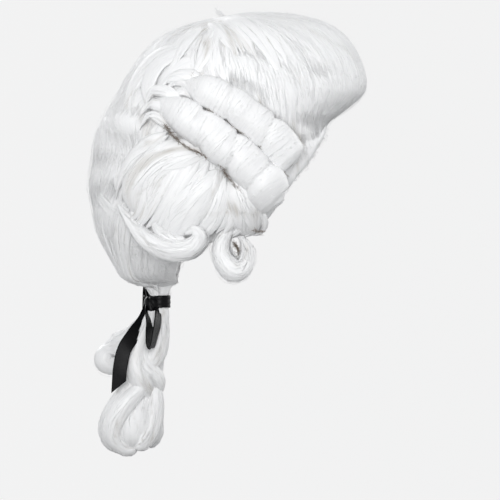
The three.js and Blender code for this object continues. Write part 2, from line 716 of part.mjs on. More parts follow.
// Ribbon, with one loop hanging and one rising, and the queue under it
const knotRoom = knot(GAP);
const bandRing = tieCylinder(BAND_RADIUS, BAND_TOP, BAND_BOTTOM).subtract(
  tieCylinder(TIE_RADIUS + GAP, BAND_TOP + 1, BAND_BOTTOM - 1),
);
const loopRooms = [mirrored(hangingLoop(GAP)), risingLoop(GAP)];
const tailRooms = both([tail(GAP)]);

add("ribbon_band", bandRing, ribbonColour);
add("ribbon_knot", knot(0).subtract(tieRoom), ribbonColour);
add("bow_loop_right", mirrored(cutBy(hangingLoop(0), [knotRoom, tieRoom])), ribbonColour);
add("bow_loop_left", cutBy(risingLoop(0), [knotRoom, tieRoom]), ribbonColour);
addPair("ribbon_tail", cutBy(tail(0), [knotRoom, tieRoom, ...both(loopRooms)]), ribbonColour);
add("queue", cutBy(queue(), [knotRoom, ...loopRooms, ...tailRooms]), hairColour);

export default group;
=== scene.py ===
"""The looks of a white powdered wig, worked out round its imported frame.

Every hair piece is a surface of two shares, one across the hair and one along it. Locks are
raised on the surface as ridges that run along the hair, and fine wisps are laid over it.
Shapes are worked out in millimetres, with the wearer facing -Y and the left side on +X.
"""

import math

import bpy
import numpy as np
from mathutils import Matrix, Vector


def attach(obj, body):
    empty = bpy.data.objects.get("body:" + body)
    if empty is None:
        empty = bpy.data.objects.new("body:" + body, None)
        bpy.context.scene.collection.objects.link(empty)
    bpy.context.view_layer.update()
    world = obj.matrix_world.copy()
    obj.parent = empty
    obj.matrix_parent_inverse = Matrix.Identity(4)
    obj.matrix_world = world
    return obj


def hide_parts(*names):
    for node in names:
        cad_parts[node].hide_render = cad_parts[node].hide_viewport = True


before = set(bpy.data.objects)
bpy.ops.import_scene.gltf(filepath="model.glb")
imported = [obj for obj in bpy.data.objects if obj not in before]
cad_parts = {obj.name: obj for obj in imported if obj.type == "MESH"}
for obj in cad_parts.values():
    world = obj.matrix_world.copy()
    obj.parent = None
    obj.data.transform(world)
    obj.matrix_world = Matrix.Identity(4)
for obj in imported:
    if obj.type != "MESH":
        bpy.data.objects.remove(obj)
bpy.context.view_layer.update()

bl_info = {
    "name": "Powdered Wig",
    "version": (1, 0, 0),
    "blender": (4, 5, 0),
    "location": "3D View > Sidebar > Wig",
    "description": "Builds the looks of a white powdered wig with side rolls and a tied queue",
    "category": "Object",
}

MM = 0.001
CM = 0.1  # strand maps are in centimetres, worked out from millimetres

# Sizes of the head and the hair
HEAD_DOME = 100.0
HALF_HEAD = 98.5
HALF_BREADTH = 77.5
NECK_HALF = 57.0
NECK_BACK = 70.5
NECK_FRONT = 55.0
CAP_WALL = 1.5
GAP = 0.3
HAIR_RISE = 53.0
HAIR_SPAN = 298.0
POMPADOUR_REACH = 134.6
BACK_REACH = 155.8
HAIR_HALF_WIDTH = 92.0
TIE_BACK = 82.5
TIE_RADIUS = 9.5
TIE_LEVEL = -245.0
BAND_BOTTOM = -258.3
BAND_RADIUS = 10.9
ROLL_LIFT = 8.0
SIDE_LOCK_HALF_WIDTH = 28.0
SIDE_LOCK_HALF_DEPTH = 15.0
QUEUE_LENGTH = 160.0
QUEUE_REACH = 74.0
QUEUE_HALF_WIDTH = 34.0
QUEUE_LOCK_RADIUS = 14.0
RIBBON_WIDTH = 15.0
RIBBON_WALL = 0.8
BOW_SPREAD = 34.0
KNOT_RADIUS = 9.0
KNOT_PLACE = np.array([0.0, TIE_BACK + TIE_RADIUS, -251.8])
KNOT_SAG = 4.5
KNOT_LEAN = 1.5

# Levels of the crown's outer form: down, front, back, half width, squareness, gather
CREST = [
    (0, 0.22, -0.13, 0.03, 2.1, 0),
    (0.0055, 0.39, 0.03, 0.22, 2.1, 0),
    (0.018, 0.56, 0.19, 0.4, 2.1, 0),
    (0.046, 0.73, 0.37, 0.585, 2.2, 0),
    (0.092, 0.866, 0.55, 0.74, 2.3, 0),
    (0.157, 0.957, 0.667, 0.86, 2.4, 0),
    (0.228, 1, 0.755, 0.93, 2.4, 0),
    (0.278, 0.984, 0.81, 0.96, 2.45, 0),
    (0.313, 0.914, 0.85, 0.975, 2.5, 0),
    (0.352, 0.803, 0.885, 0.985, 2.6, 0),
    (0.395, 0.7, 0.92, 0.99, 2.8, 0),
    (0.484, 0.8, 0.973, 1, 2.3, 0),
    (0.591, 0.76, 0.998, 0.995, 2.2, 0),
    (0.68, 0.62, 0.993, 0.965, 2.2, 0),
    (0.751, 0.47, 0.953, 0.9, 2.2, 0),
    (0.815, 0.24, 0.898, 0.8, 2.1, 0),
    (0.868, -0.03, 0.847, 0.66, 2, 0),
    (0.904, -0.2, 0.813, 0.54, 2, 0),
    (0.929, -0.31, 0.786, 0.44, 2, 0),
    (0.945, -0.39, 0.721, 0.34, 2, 0),
    (0.954, -0.44, 0.646, 0.25, 2, 0.2),
    (0.972, -0.5, 0.602, 0.15, 2, 0.75),
    (1, -0.54, 0.592, 0.1, 2, 1),
]

# Levels of the head: down, front, back, half breadth, neck
HEAD_FORM = [
    (0, 0.04, 0.04, 0.04, 0),
    (0.03, 0.243, 0.243, 0.243, 0),
    (0.1, 0.436, 0.436, 0.436, 0),
    (0.22, 0.626, 0.626, 0.626, 0),
    (0.4, 0.8, 0.8, 0.8, 0),
    (0.65, 0.937, 0.937, 0.937, 0),
    (1, 1, 1, 1, 0),
    (1.4, 0.985, 0.95, 0.965, 0),
    (1.75, 0.95, 0.87, 0.9, 0.15),
    (2.1, 0.9, 0.78, 0.8, 0.75),
    (2.4, 0.6, 0.72, 0.75, 1),
    (3.4, 0.6, 0.72, 0.75, 1),
]

# Edges seen from the side: ahead and down, as shares of the head's sizes
HAIRLINE = [
    (0.955, 0.641),
    (0.861, 0.827),
    (0.732, 1.039),
    (0.624, 1.166),
    (0.495, 1.336),
    (0.366, 1.548),
    (0.215, 1.72),
    (0, 1.8),
    (-0.28, 1.84),
    (-0.538, 1.93),
    (-0.624, 2.06),
    (-0.689, 2.24),
]
CAP_EDGE = [(0.94, 0.6), (0.6, 1.1), (0.2, 1.5), (-0.4, 1.66), (-1.03, 1.76)]

# Side rolls: ahead, down, out, radius
UPPER_ROLL = [
    (-0.42, 0.31, 1, 0.8),
    (-0.22, 0.4, 1, 0.9),
    (-0.01, 0.525, 1, 0.94),
    (0.2, 0.685, 1, 0.97),
    (0.39, 0.87, 1, 1.02),
    (0.56, 1.09, 1.12, 1.03),
]
LOWER_ROLL = [
    (-0.67, 0.54, 1, 0.82),
    (-0.43, 0.7, 1, 0.92),
    (-0.215, 0.85, 1, 0.97),
    (-0.02, 1.005, 1.06, 1),
    (0.155, 1.17, 1.19, 1.02),
    (0.29, 1.34, 1.5, 1.02),
    (0.4, 1.5, 1.75, 0.92),
]

# Side hair: ahead, down, out, half width, half thickness
REAR_WAVE = [
    (-0.26, 1, 0, 0.32, 0.33),
    (-0.52, 1.02, 0.07, 0.82, 0.73),
    (-0.8, 1.15, 0.07, 1.04, 0.87),
    (-1, 1.38, 0.07, 0.93, 0.8),
    (-1.06, 1.6, 0, 0.36, 0.27),
]
MIDDLE_WAVE = [
    (-0.16, 1.16, 0, 0.32, 0.33),
    (-0.34, 1.33, 0.13, 0.71, 0.8),
    (-0.53, 1.53, 0.13, 0.86, 0.93),
    (-0.68, 1.72, 0.07, 0.71, 0.73),
    (-0.78, 1.88, 0, 0.29, 0.27),
]
FRONT_PUFF = [
    (-0.05, 1.22, 0, 0.43, 0.47),
    (0, 1.37, 0.2, 0.82, 0.93),
    (0.06, 1.54, 0.27, 0.93, 1.07),
    (0.09, 1.69, 0.2, 0.79, 0.87),
    (0.1, 1.82, 0.07, 0.32, 0.33),
]
# Locks of the queue: back, down, out towards the wearer's right, radius
QUEUE_LOCKS = [
    [
        (0, -0.02, 0, 0.64),
        (0.06, 0.16, 0, 0.86),
        (0.12, 0.4, 0, 0.86),
        (0.22, 0.62, 0, 0.86),
        (0.3, 0.87, 0, 1),
    ],
    [
        (0, -0.02, 0.05, 0.64),
        (0.01, 0.13, 0.15, 0.79),
        (0.06, 0.3, 0.4, 0.86),
        (0.22, 0.39, 0.55, 0.71),
        (0.4, 0.43, 0.3, 0.36),
    ],
    [
        (0.06, -0.02, 0, 0.57),
        (0.2, 0.15, 0.4, 0.71),
        (0.34, 0.33, 0.6, 0.86),
        (0.24, 0.49, 0.5, 0.93),
        (0.1, 0.6, 0.1, 0.57),
    ],
    [
        (0.08, 0, -0.1, 0.5),
        (0.32, 0.16, -0.35, 0.79),
        (0.6, 0.28, -0.35, 0.93),
        (0.76, 0.35, -0.15, 1),
        (0.56, 0.42, 0, 0.57),
    ],
    [
        (0.24, 0.4, 0.2, 0.79),
        (0.42, 0.56, 0.35, 1),
        (0.6, 0.72, 0.4, 1.21),
        (0.62, 0.85, 0.25, 1.21),
        (0.4, 0.93, 0, 0.71),
    ],
    [
        (0.16, 0.46, -0.3, 0.79),
        (0.24, 0.64, -0.4, 1),
        (0.16, 0.81, -0.25, 1.14),
        (0.24, 0.92, -0.1, 0.71),
    ],
]

# Outer locks of the queue, which close its curls, in the same form
QUEUE_CURLS = [
    [
        (0.14, 0.42, 0.05, 0.8),
        (0.32, 0.58, 0.1, 1.35),
        (0.4, 0.73, 0.12, 1.7),
        (0.4, 0.86, 0.12, 1.5),
        (0.38, 0.95, 0.1, 0.7),
    ],
    [
        (0.06, 0.44, 0.4, 0.45),
        (0.36, 0.57, 0.62, 0.7),
        (0.6, 0.72, 0.6, 0.9),
        (0.64, 0.85, 0.5, 0.85),
        (0.48, 0.93, 0.4, 0.6),
        (0.32, 0.93, 0.3, 0.35),
    ],
    [
        (0.06, 0.48, 0.3, 0.42),
        (0.06, 0.63, 0.45, 0.62),
        (0.1, 0.78, 0.5, 0.72),
        (0.24, 0.89, 0.45, 0.65),
        (0.4, 0.91, 0.4, 0.4),
    ],
    [
        (0.52, 0.16, -0.4, 0.4),
        (0.66, 0.26, -0.42, 0.75),
        (0.62, 0.36, -0.42, 0.8),
        (0.5, 0.42, -0.35, 0.45),
    ],
    [
        (0.1, 0.05, 0.2, 0.4),
        (0.26, 0.2, 0.45, 0.62),
        (0.22, 0.36, 0.6, 0.7),
        (0.05, 0.46, 0.5, 0.62),
        (-0.02, 0.56, 0.3, 0.4),
    ],
]

# Ribbon from the knot: out, back, down, width, slant
HANGING_LOOP = [
    (0.12, -0.44, 0.06, 0.45, 0),
    (0.38, -0.89, 0.23, 0.8, 0),
    (0.68, -0.83, 0.45, 1, 0),
    (0.88, -0.58, 0.69, 1, 0),
    (1, -0.31, 0.92, 1, 0),
    (1.01, -0.09, 0.99, 1, 0),
    (1, 0.16, 0.92, 1, 0),
    (0.88, 0.18, 0.69, 1, 0),
    (0.68, 0.11, 0.45, 1, 0),
    (0.38, 0.33, 0.23, 0.8, 0),
    (0.12, 0.44, 0.09, 0.45, 0),
]
RISING_LOOP = [
    (0.09, 0.22, -0.06, 0.4, 0),
    (0.26, 0.33, -0.3, 0.6, 0),
    (0.53, 0.33, -0.34, 0.8, 0),
    (0.79, 0.33, -0.2, 0.95, 0),
    (0.97, 0.33, 0.1, 1, 0),
    (1.03, 0.33, 0.42, 1, 0),
    (0.99, 0.33, 0.5, 1, 0),
    (0.93, 0.33, 0.42, 1, 0),
    (0.82, 0.33, 0.14, 1, 0),
    (0.59, 0.33, -0.08, 0.9, 0),
    (0.32, 0.33, -0.1, 0.6, 0),
    (0.09, 0.22, 0.04, 0.4, 0),
]
TAIL = [
    (0.12, 0.09, 0.05, 0.6, 0),
    (0.44, 0.24, 0.2, 0.85, 0),
    (0.76, 0.55, 0.36, 1, 0),
    (0.94, 0.82, 0.51, 1, 0),
    (1, 0.95, 0.7, 1, 0),
    (0.97, 1, 0.92, 1, -0.93),
]

# Locks that lie over the side hair, seen from the side: half width in mm, then ahead and down
SIDE_FAN = [
    (8.5, [(-0.71, 0.742), (-0.925, 0.89), (-1.13, 1.145), (-1.248, 1.463)]),
    (9.5, [(-0.646, 0.806), (-0.861, 0.996), (-1.055, 1.251), (-1.151, 1.548)]),
    (9.5, [(-0.56, 0.88), (-0.753, 1.06), (-0.925, 1.314), (-1.022, 1.59), (-1.162, 1.675)]),
    (9.5, [(-0.474, 0.943), (-0.646, 1.124), (-0.796, 1.378), (-0.947, 1.611), (-1.076, 1.738)]),
    (9.5, [(-0.387, 0.996), (-0.517, 1.187), (-0.678, 1.42), (-0.839, 1.632), (-0.99, 1.781)]),
    (10, [(-0.301, 1.049), (-0.409, 1.251), (-0.549, 1.484), (-0.71, 1.675), (-0.839, 1.781)]),
    (10.5, [(-0.215, 1.124), (-0.291, 1.314), (-0.409, 1.526), (-0.549, 1.696), (-0.689, 1.823)]),
    (10.5, [(-0.129, 1.208), (-0.172, 1.399), (-0.258, 1.59), (-0.377, 1.738), (-0.517, 1.823)]),
    (10.5, [(-0.043, 1.304), (-0.054, 1.484), (-0.118, 1.654), (-0.248, 1.802)]),
    (10.5, [(0.043, 1.389), (0.065, 1.548), (0.022, 1.696), (-0.097, 1.813)]),
    (9, [(0.11, 1.45), (0.16, 1.57), (0.13, 1.69), (0.03, 1.77)]),
    (6, [(0.17, 1.5), (0.22, 1.6), (0.2, 1.69), (0.11, 1.75)]),
]

# Locks that sweep from the back of the head forwards under the side hair
BACK_SWEEPS = [
    (4.5, [(-1.5, 1.3), (-1.46, 1.45), (-1.27, 1.64), (-1.04, 1.74), (-0.82, 1.78)]),
    (5, [(-1.5, 1.5), (-1.43, 1.64), (-1.24, 1.79), (-1.02, 1.87), (-0.82, 1.89)]),
    (5, [(-1.46, 1.64), (-1.4, 1.78), (-1.21, 1.93), (-1, 2.01), (-0.84, 2.04)]),
    (6, [(-1.42, 1.78), (-1.3, 1.98), (-1.14, 2.12), (-0.98, 2.2)]),
]

# Locks that lie over the crown and the back, in the same form
CROWN_LOCKS = [
    (8, [(-0.36, -0.4), (-0.22, -0.36), (-0.03, -0.12), (0.06, 0.24)]),
    (8, [(-0.3, -0.46), (-0.1, -0.38), (0.14, -0.1), (0.2, 0.3)]),
    (9, [(-0.24, -0.5), (0.06, -0.4), (0.34, -0.02), (0.5, 0.4)]),
    (8, [(-0.14, -0.48), (0.2, -0.4), (0.55, -0.02), (0.72, 0.42)]),
    (10, [(-0.3, -0.46), (-0.5, -0.27), (-0.69, -0.04), (-0.86, 0.17)]),
    (9, [(-0.2, -0.45), (-0.3, -0.2), (-0.4, 0.03), (-0.5, 0.2)]),
    (8, [(-0.16, -0.4), (-0.17, -0.15), (-0.16, 0.1), (-0.1, 0.3)]),
    (9, [(-0.35, 0.36), (-0.58, 0.23), (-0.76, 0.28), (-0.86, 0.45)]),
    (9, [(-0.5, 0.72), (-0.68, 0.56), (-0.8, 0.4), (-0.84, 0.24)]),
    (11, [(-0.344, -0.148), (-0.603, -0.085), (-0.839, 0.042), (-0.958, 0.254), (-0.925, 0.466),
          (-0.796, 0.636)]),
    (11, [(-0.291, -0.042), (-0.517, 0.021), (-0.699, 0.17), (-0.764, 0.339), (-0.71, 0.509),
          (-0.603, 0.636)]),
    (9.5, [(-0.258, 0.064), (-0.409, 0.148), (-0.538, 0.297), (-0.538, 0.445), (-0.452, 0.572)]),
    (9, [(-0.452, -0.191), (-0.732, -0.148), (-0.99, 0.021), (-1.141, 0.297), (-1.162, 0.572),
         (-1.055, 0.806)]),
    (7, [(-0.6, -0.15), (-0.87, 0.0), (-1.06, 0.24), (-1.17, 0.55), (-1.2, 0.85)]),
    (10, [(-1.033, 0.806), (-1.184, 0.996), (-1.248, 1.23), (-1.184, 1.463), (-1.227, 1.717)]),
    (10, [(-0.947, 1.442), (-1.098, 1.59), (-1.119, 1.802), (-0.99, 1.993), (-0.882, 2.205)]),
    (11, [(-0.775, 1.675), (-0.904, 1.823), (-0.925, 2.014), (-0.839, 2.184)]),
    (8, [(-1.356, 1.548), (-1.356, 1.738), (-1.227, 1.908), (-1.141, 2.099), (-0.969, 2.247)]),
]

# Locks that lie over the rolls' back ends, in the same form
ROOT_LOCKS = [
    (7, [(-0.3, 0.25), (-0.5, 0.16), (-0.7, 0.2), (-0.84, 0.36)]),
    (7, [(-0.3, 0.4), (-0.48, 0.27), (-0.64, 0.26), (-0.78, 0.4)]),
    (6, [(-0.34, 0.5), (-0.47, 0.4), (-0.6, 0.38), (-0.7, 0.52)]),
    (7, [(-0.52, 0.48), (-0.72, 0.36), (-0.88, 0.36), (-0.98, 0.5)]),
    (7, [(-0.54, 0.62), (-0.73, 0.49), (-0.9, 0.46), (-1.02, 0.6)]),
    (6, [(-0.6, 0.76), (-0.76, 0.64), (-0.91, 0.6), (-1.02, 0.74)]),
]

# Waves of the back hair: down, raised in mm
BACK_WAVES = [(0.1, 0), (0.38, -0.8), (0.753, 2.0), (1.06, -1.2), (1.267, 1.6), (1.452, -2.1),
              (1.717, 1.4), (2.29, 0)]

# Curls in front of the neck, each lock ahead, down, out in mm, half widths in and through
RINGLET_LOOPS = [
    [
        (-0.02, 1.7, -2, 6, 6),
        (-0.14, 1.83, 2, 8, 7),
        (-0.18, 1.96, 6, 9, 8),
        (-0.15, 2.08, 8, 10, 8.5),
        (-0.05, 2.175, 8, 12, 9),
        (0.06, 2.14, 5, 9.5, 8),
        (0.1, 2.01, 1, 7, 6),
        (0.07, 1.89, -3, 5.5, 5),
        (0.0, 1.83, -6, 3, 3),
    ],
    [
        (-0.1, 1.82, -5, 3, 3),
        (-0.13, 1.98, -2, 4.5, 4),
        (-0.04, 2.1, 0, 5, 5),
        (0.05, 2.05, -3, 4, 4),
        (0.03, 1.93, -6, 2.5, 2.5),
    ],
]
REAR_BULB = [
    [
        (-1.27, 1.49, 1, 3.5, 3.5),
        (-1.12, 1.69, 10, 6.5, 6),
        (-0.96, 1.86, 21, 9, 8),
        (-0.8, 1.95, 29, 10.5, 8.5),
        (-0.62, 1.985, 34, 11, 9),
        (-0.47, 1.94, 35, 10, 9),
        (-0.4, 1.84, 33, 8, 8),
        (-0.46, 1.77, 32, 6, 7),
        (-0.55, 1.81, 31, 4, 5),
    ],
    [
        (-0.9, 1.66, 2, 4, 5),
        (-0.8, 1.8, 6, 7, 6),
        (-0.66, 1.88, 9, 7.5, 7),
        (-0.54, 1.86, 9, 5, 6),
    ],
]

TUFT_BACK = 19.0
TUFT_RISE = 7.0

# Creases with short dark fibres, brown weft and painted shade: fibres, out in mm, the place of the curl's root where
# they lie in a curl, then ahead and down
CREASES = [
    (240, 14, None, [(-0.753, 0.7), (-0.667, 0.806), (-0.538, 0.912), (-0.366, 0.996), (-0.215, 1.06),
                     (-0.129, 1.187)]),
    (140, 14, None, [(-0.129, 1.187), (0.022, 1.357), (0.172, 1.463), (0.3, 1.53)]),
    (200, 12, None, [(-0.301, 0.53), (-0.108, 0.678), (0.086, 0.784), (0.194, 0.848), (0.344, 1.018),
                     (0.517, 1.208)]),
    (70, 7, None, [(-0.48, 0.17), (-0.44, 0.2), (-0.4, 0.22)]),
    (26, 8, (0.1, 1.65), [(0.17, 1.77), (0.22, 1.79), (0.27, 1.78)]),
    (50, 12, (-0.85, 1.5), [(-0.53, 1.87), (-0.49, 1.89), (-0.45, 1.89)]),
    (50, 2, (-0.02, 1.7), [(-0.04, 1.9), (0.0, 1.96), (0.0, 2.02)]),
]

# Dents of the crown seen from the side: width and depth in mm, then ahead and down
CROWN_DENTS = [
    (7, 5.5, [(-0.5, 0.06), (-0.77, 0.02), (-0.95, 0.15), (-0.93, 0.42), (-0.88, 0.6)]),
    (6, 2.0, [(-1.08, 0.47), (-1.03, 0.64), (-0.84, 0.68)]),
    (9, 6.0, [(-0.32, 0.13), (0.05, 0.24), (0.24, 0.38), (0.3, 0.6), (0.63, 0.82), (0.74, 0.91)]),
    (11, 3.0, [(-1.5, 1.22), (-1.3, 1.3), (-1.05, 1.38), (-0.85, 1.44)]),
    (9, 3.5, [(-1.46, 0.72), (-1.25, 0.8), (-1.06, 0.84)]),
    (8, 3.5, [(-0.2, -0.27), (0.2, -0.24), (0.62, -0.1), (0.95, 0.22)]),
    (7, 2.5, [(-0.1, -0.1), (0.3, -0.04), (0.62, 0.16), (0.82, 0.46)]),
]


def spline(rows, share):
    """Rows of numbers read at shares of their length, on a cubic curve through every row."""
    rows = np.asarray(rows, float)
    at = np.clip(np.asarray(share, float), 0, 1) * (len(rows) - 1)
    i = np.minimum(at.astype(int), len(rows) - 2)
    t = (at - i)[..., None]
    a, b, c, d = (rows[np.clip(i + k, 0, len(rows) - 1)] for k in (-1, 0, 1, 2))
    return b + 0.5 * t * (c - a + t * (2 * a - 5 * b + 4 * c - d + t * (3 * (b - c) + d - a)))


def unit(vectors):
    """Vectors brought to a length of one."""
    return vectors / np.maximum(np.linalg.norm(vectors, axis=-1, keepdims=True), 1e-9)


def smooth(x):
    """The smooth step from 0 to 1."""
    x = np.clip(x, 0, 1)
    return x * x * (3 - 2 * x)


def noise(seed, across, along, wrap=0):
    """Random values from -1 to 1 at whole coordinates, blended by a smooth step between
    them. It repeats across after wrap cells, where wrap is given."""
    table = np.random.default_rng(seed).uniform(-1, 1, (128, 128))
    i, j = np.floor(across).astype(int), np.floor(along).astype(int)
    u, v = smooth(across - i), smooth(along - j)
    size = wrap or 128
    c0, c1 = i % size % 128, (i + 1) % size % 128
    r0, r1 = j % 128, (j + 1) % 128
    low = table[r0, c0] * (1 - u) + table[r0, c1] * u
    high = table[r1, c0] * (1 - u) + table[r1, c1] * u
    return low * (1 - v) + high * v


def locks(seed, across, along, cells, wrap=True):
    """The height of locks of hair from 0 to 1: rounded tops and sharp grooves where a noise
    crosses nought, at three widths. across is a share, along is in units of a lock's
    length, and cells is how many of the widest locks lie side by side."""
    height = 0
    for k, (finer, share) in enumerate([(1, 0.6), (2.6, 0.27), (6, 0.13)]):
        count = max(2, int(round(cells * finer)))
        n = noise(seed + k, across * count, along * (1 + 0.5 * k) + 7.3 * k, count if wrap else 0)
        height = height + share * np.abs(n) ** 0.75
    return height


# Faces and objects


def signed_volume(points, faces):
    a, b, c = (points[faces[:, k]] for k in range(3))
    return np.einsum("ij,ij->i", a, np.cross(b, c)).sum()


class Form:
    """Points, three-sided faces and strand maps gathered for one piece."""

    def __init__(self):
        self.parts = []
        self.count = 0

    def add(self, points, faces, maps, shade):
        """Adds a closed body, its faces turned to point outwards."""
        if signed_volume(points, faces) < 0:
            faces, maps = faces[:, ::-1], maps[:, ::-1]
        self.parts.append((points, faces + self.count, maps, shade))
        self.count += len(points)

    def arrays(self):
        return [np.concatenate([part[k] for part in self.parts]) for k in range(4)]


def ring_body(form, rings, across, along, shade, slit=False):
    """A closed body from rings: rings[i, j] is place j on ring i. Each ring is joined to the
    next and round on itself, and the ends are closed by a fan, or, with slit, the first ring
    is folded flat on itself, place j against place count - j."""
    tall, round_, _ = rings.shape
    i, j = np.meshgrid(np.arange(tall - 1), np.arange(round_), indexing="ij")
    i, j = i.ravel(), j.ravel()
    a, b = i * round_ + j, i * round_ + (j + 1) % round_
    c, d = b + round_, a + round_
    ua, ub = across[j], across[j + 1]
    va, vc = along[i], along[i + 1]
    pair = lambda u, v: np.stack([u, v], -1)
    faces = [np.stack([a, b, d], -1), np.stack([b, c, d], -1)]
    maps = [
        np.stack([pair(ua, va), pair(ub, va), pair(ua, vc)], 1),
        np.stack([pair(ub, va), pair(ub, vc), pair(ua, vc)], 1),
    ]
    points = rings.reshape(-1, 3)
    shades = shade.ravel()
    ends = [] if slit else [(0, 1)]
    ends.append((tall - 1, -1))
    j = np.arange(round_)
    for row, turn in ends:
        centre = len(points)
        points = np.vstack([points, rings[row].mean(0)])
        shades = np.append(shades, shade[row].mean())
        fan = np.stack([row * round_ + j, np.full(round_, centre), row * round_ + (j + 1) % round_], -1)
        faces.append(fan[:, ::turn])
        middle = 0.5 * (across[j] + across[j + 1])
        fan_map = np.stack([pair(across[j], along[row] + 0 * j), pair(middle, along[row] + 0.1 + 0 * j),
                            pair(across[j + 1], along[row] + 0 * j)], 1)
        maps.append(fan_map[:, ::turn])
    faces, maps = np.concatenate(faces), np.concatenate(maps)
    if slit:
        partner = np.arange(len(points))
        partner[:round_] = np.minimum(np.arange(round_), (round_ - np.arange(round_)) % round_)
        faces = partner[faces]
    used, faces = np.unique(faces, return_inverse=True)
    form.add(points[used], faces.reshape(-1, 3), maps, shades[used])


def make_piece(name, form, material, nodes, smooth_faces=True):
    """Makes an object of a form, hangs it on the root body and hides the imported parts that it stands for."""
    points, faces, maps, shade = form.arrays()
    mesh = bpy.data.meshes.new(name)
    mesh.vertices.add(len(points))
    mesh.vertices.foreach_set("co", (points * MM).astype(np.float32).ravel())
    mesh.loops.add(faces.size)
    mesh.loops.foreach_set("vertex_index", faces.astype(np.int32).ravel())
    mesh.polygons.add(len(faces))
    mesh.polygons.foreach_set("loop_start", np.arange(0, faces.size, 3, dtype=np.int32))
    mesh.polygons.foreach_set("use_smooth", np.full(len(faces), smooth_faces))
    mesh.uv_layers.new(name="strands").data.foreach_set("uv", maps.astype(np.float32).ravel())
    # The shade attribute: painted shade on the hair, and the pale sewn rows on the cap.
    mesh.attributes.new("shade", "FLOAT", "POINT").data.foreach_set("value", shade.astype(np.float32))
    mesh.update(calc_edges=True)
    mesh.materials.append(material)
    piece = bpy.data.objects.new(name, mesh)
    bpy.context.scene.collection.objects.link(piece)
    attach(piece, "root")
    if nodes:
        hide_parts(*nodes)
    return piece


def mirrored(form):
    """The form's mirror image across the middle of the head, with its faces turned back."""
    other = Form()
    for points, faces, maps, shade in form.parts:
        other.parts.append((points * [-1, 1, 1], faces[:, ::-1], maps[:, ::-1], shade))
    other.count = form.count
    return other


def grid_normals(rings, wrap=True):
    """Directions out of a grid of points, from the steps across and along it."""
    if wrap:
        across = np.roll(rings, -1, 1) - np.roll(rings, 1, 1)
    else:
        across = np.gradient(rings, axis=1)
    along = np.gradient(rings, axis=0)
    return unit(np.cross(across, along))


def read_grid(grid, along, across, wrap=True):
    """A grid of values read at shares along and across it, by straight mixing."""
    tall, wide = grid.shape[:2]
    y = np.clip(along, 0, 1) * (tall - 1)
    i = np.minimum(y.astype(int), tall - 2)
    v = (y - i)[..., None]
    if wrap:
        x = np.mod(across, 1) * wide
        j = x.astype(int) % wide
        k = (j + 1) % wide
    else:
        x = np.clip(across, 0, 1) * (wide - 1)
        j = np.minimum(x.astype(int), wide - 2)
        k = j + 1
    u = (x - np.floor(x) if wrap else x - j)[..., None]
    low = grid[i, j] * (1 - u) + grid[i, k] * u
    high = grid[i + 1, j] * (1 - u) + grid[i + 1, k] * u
    return low * (1 - v) + high * v


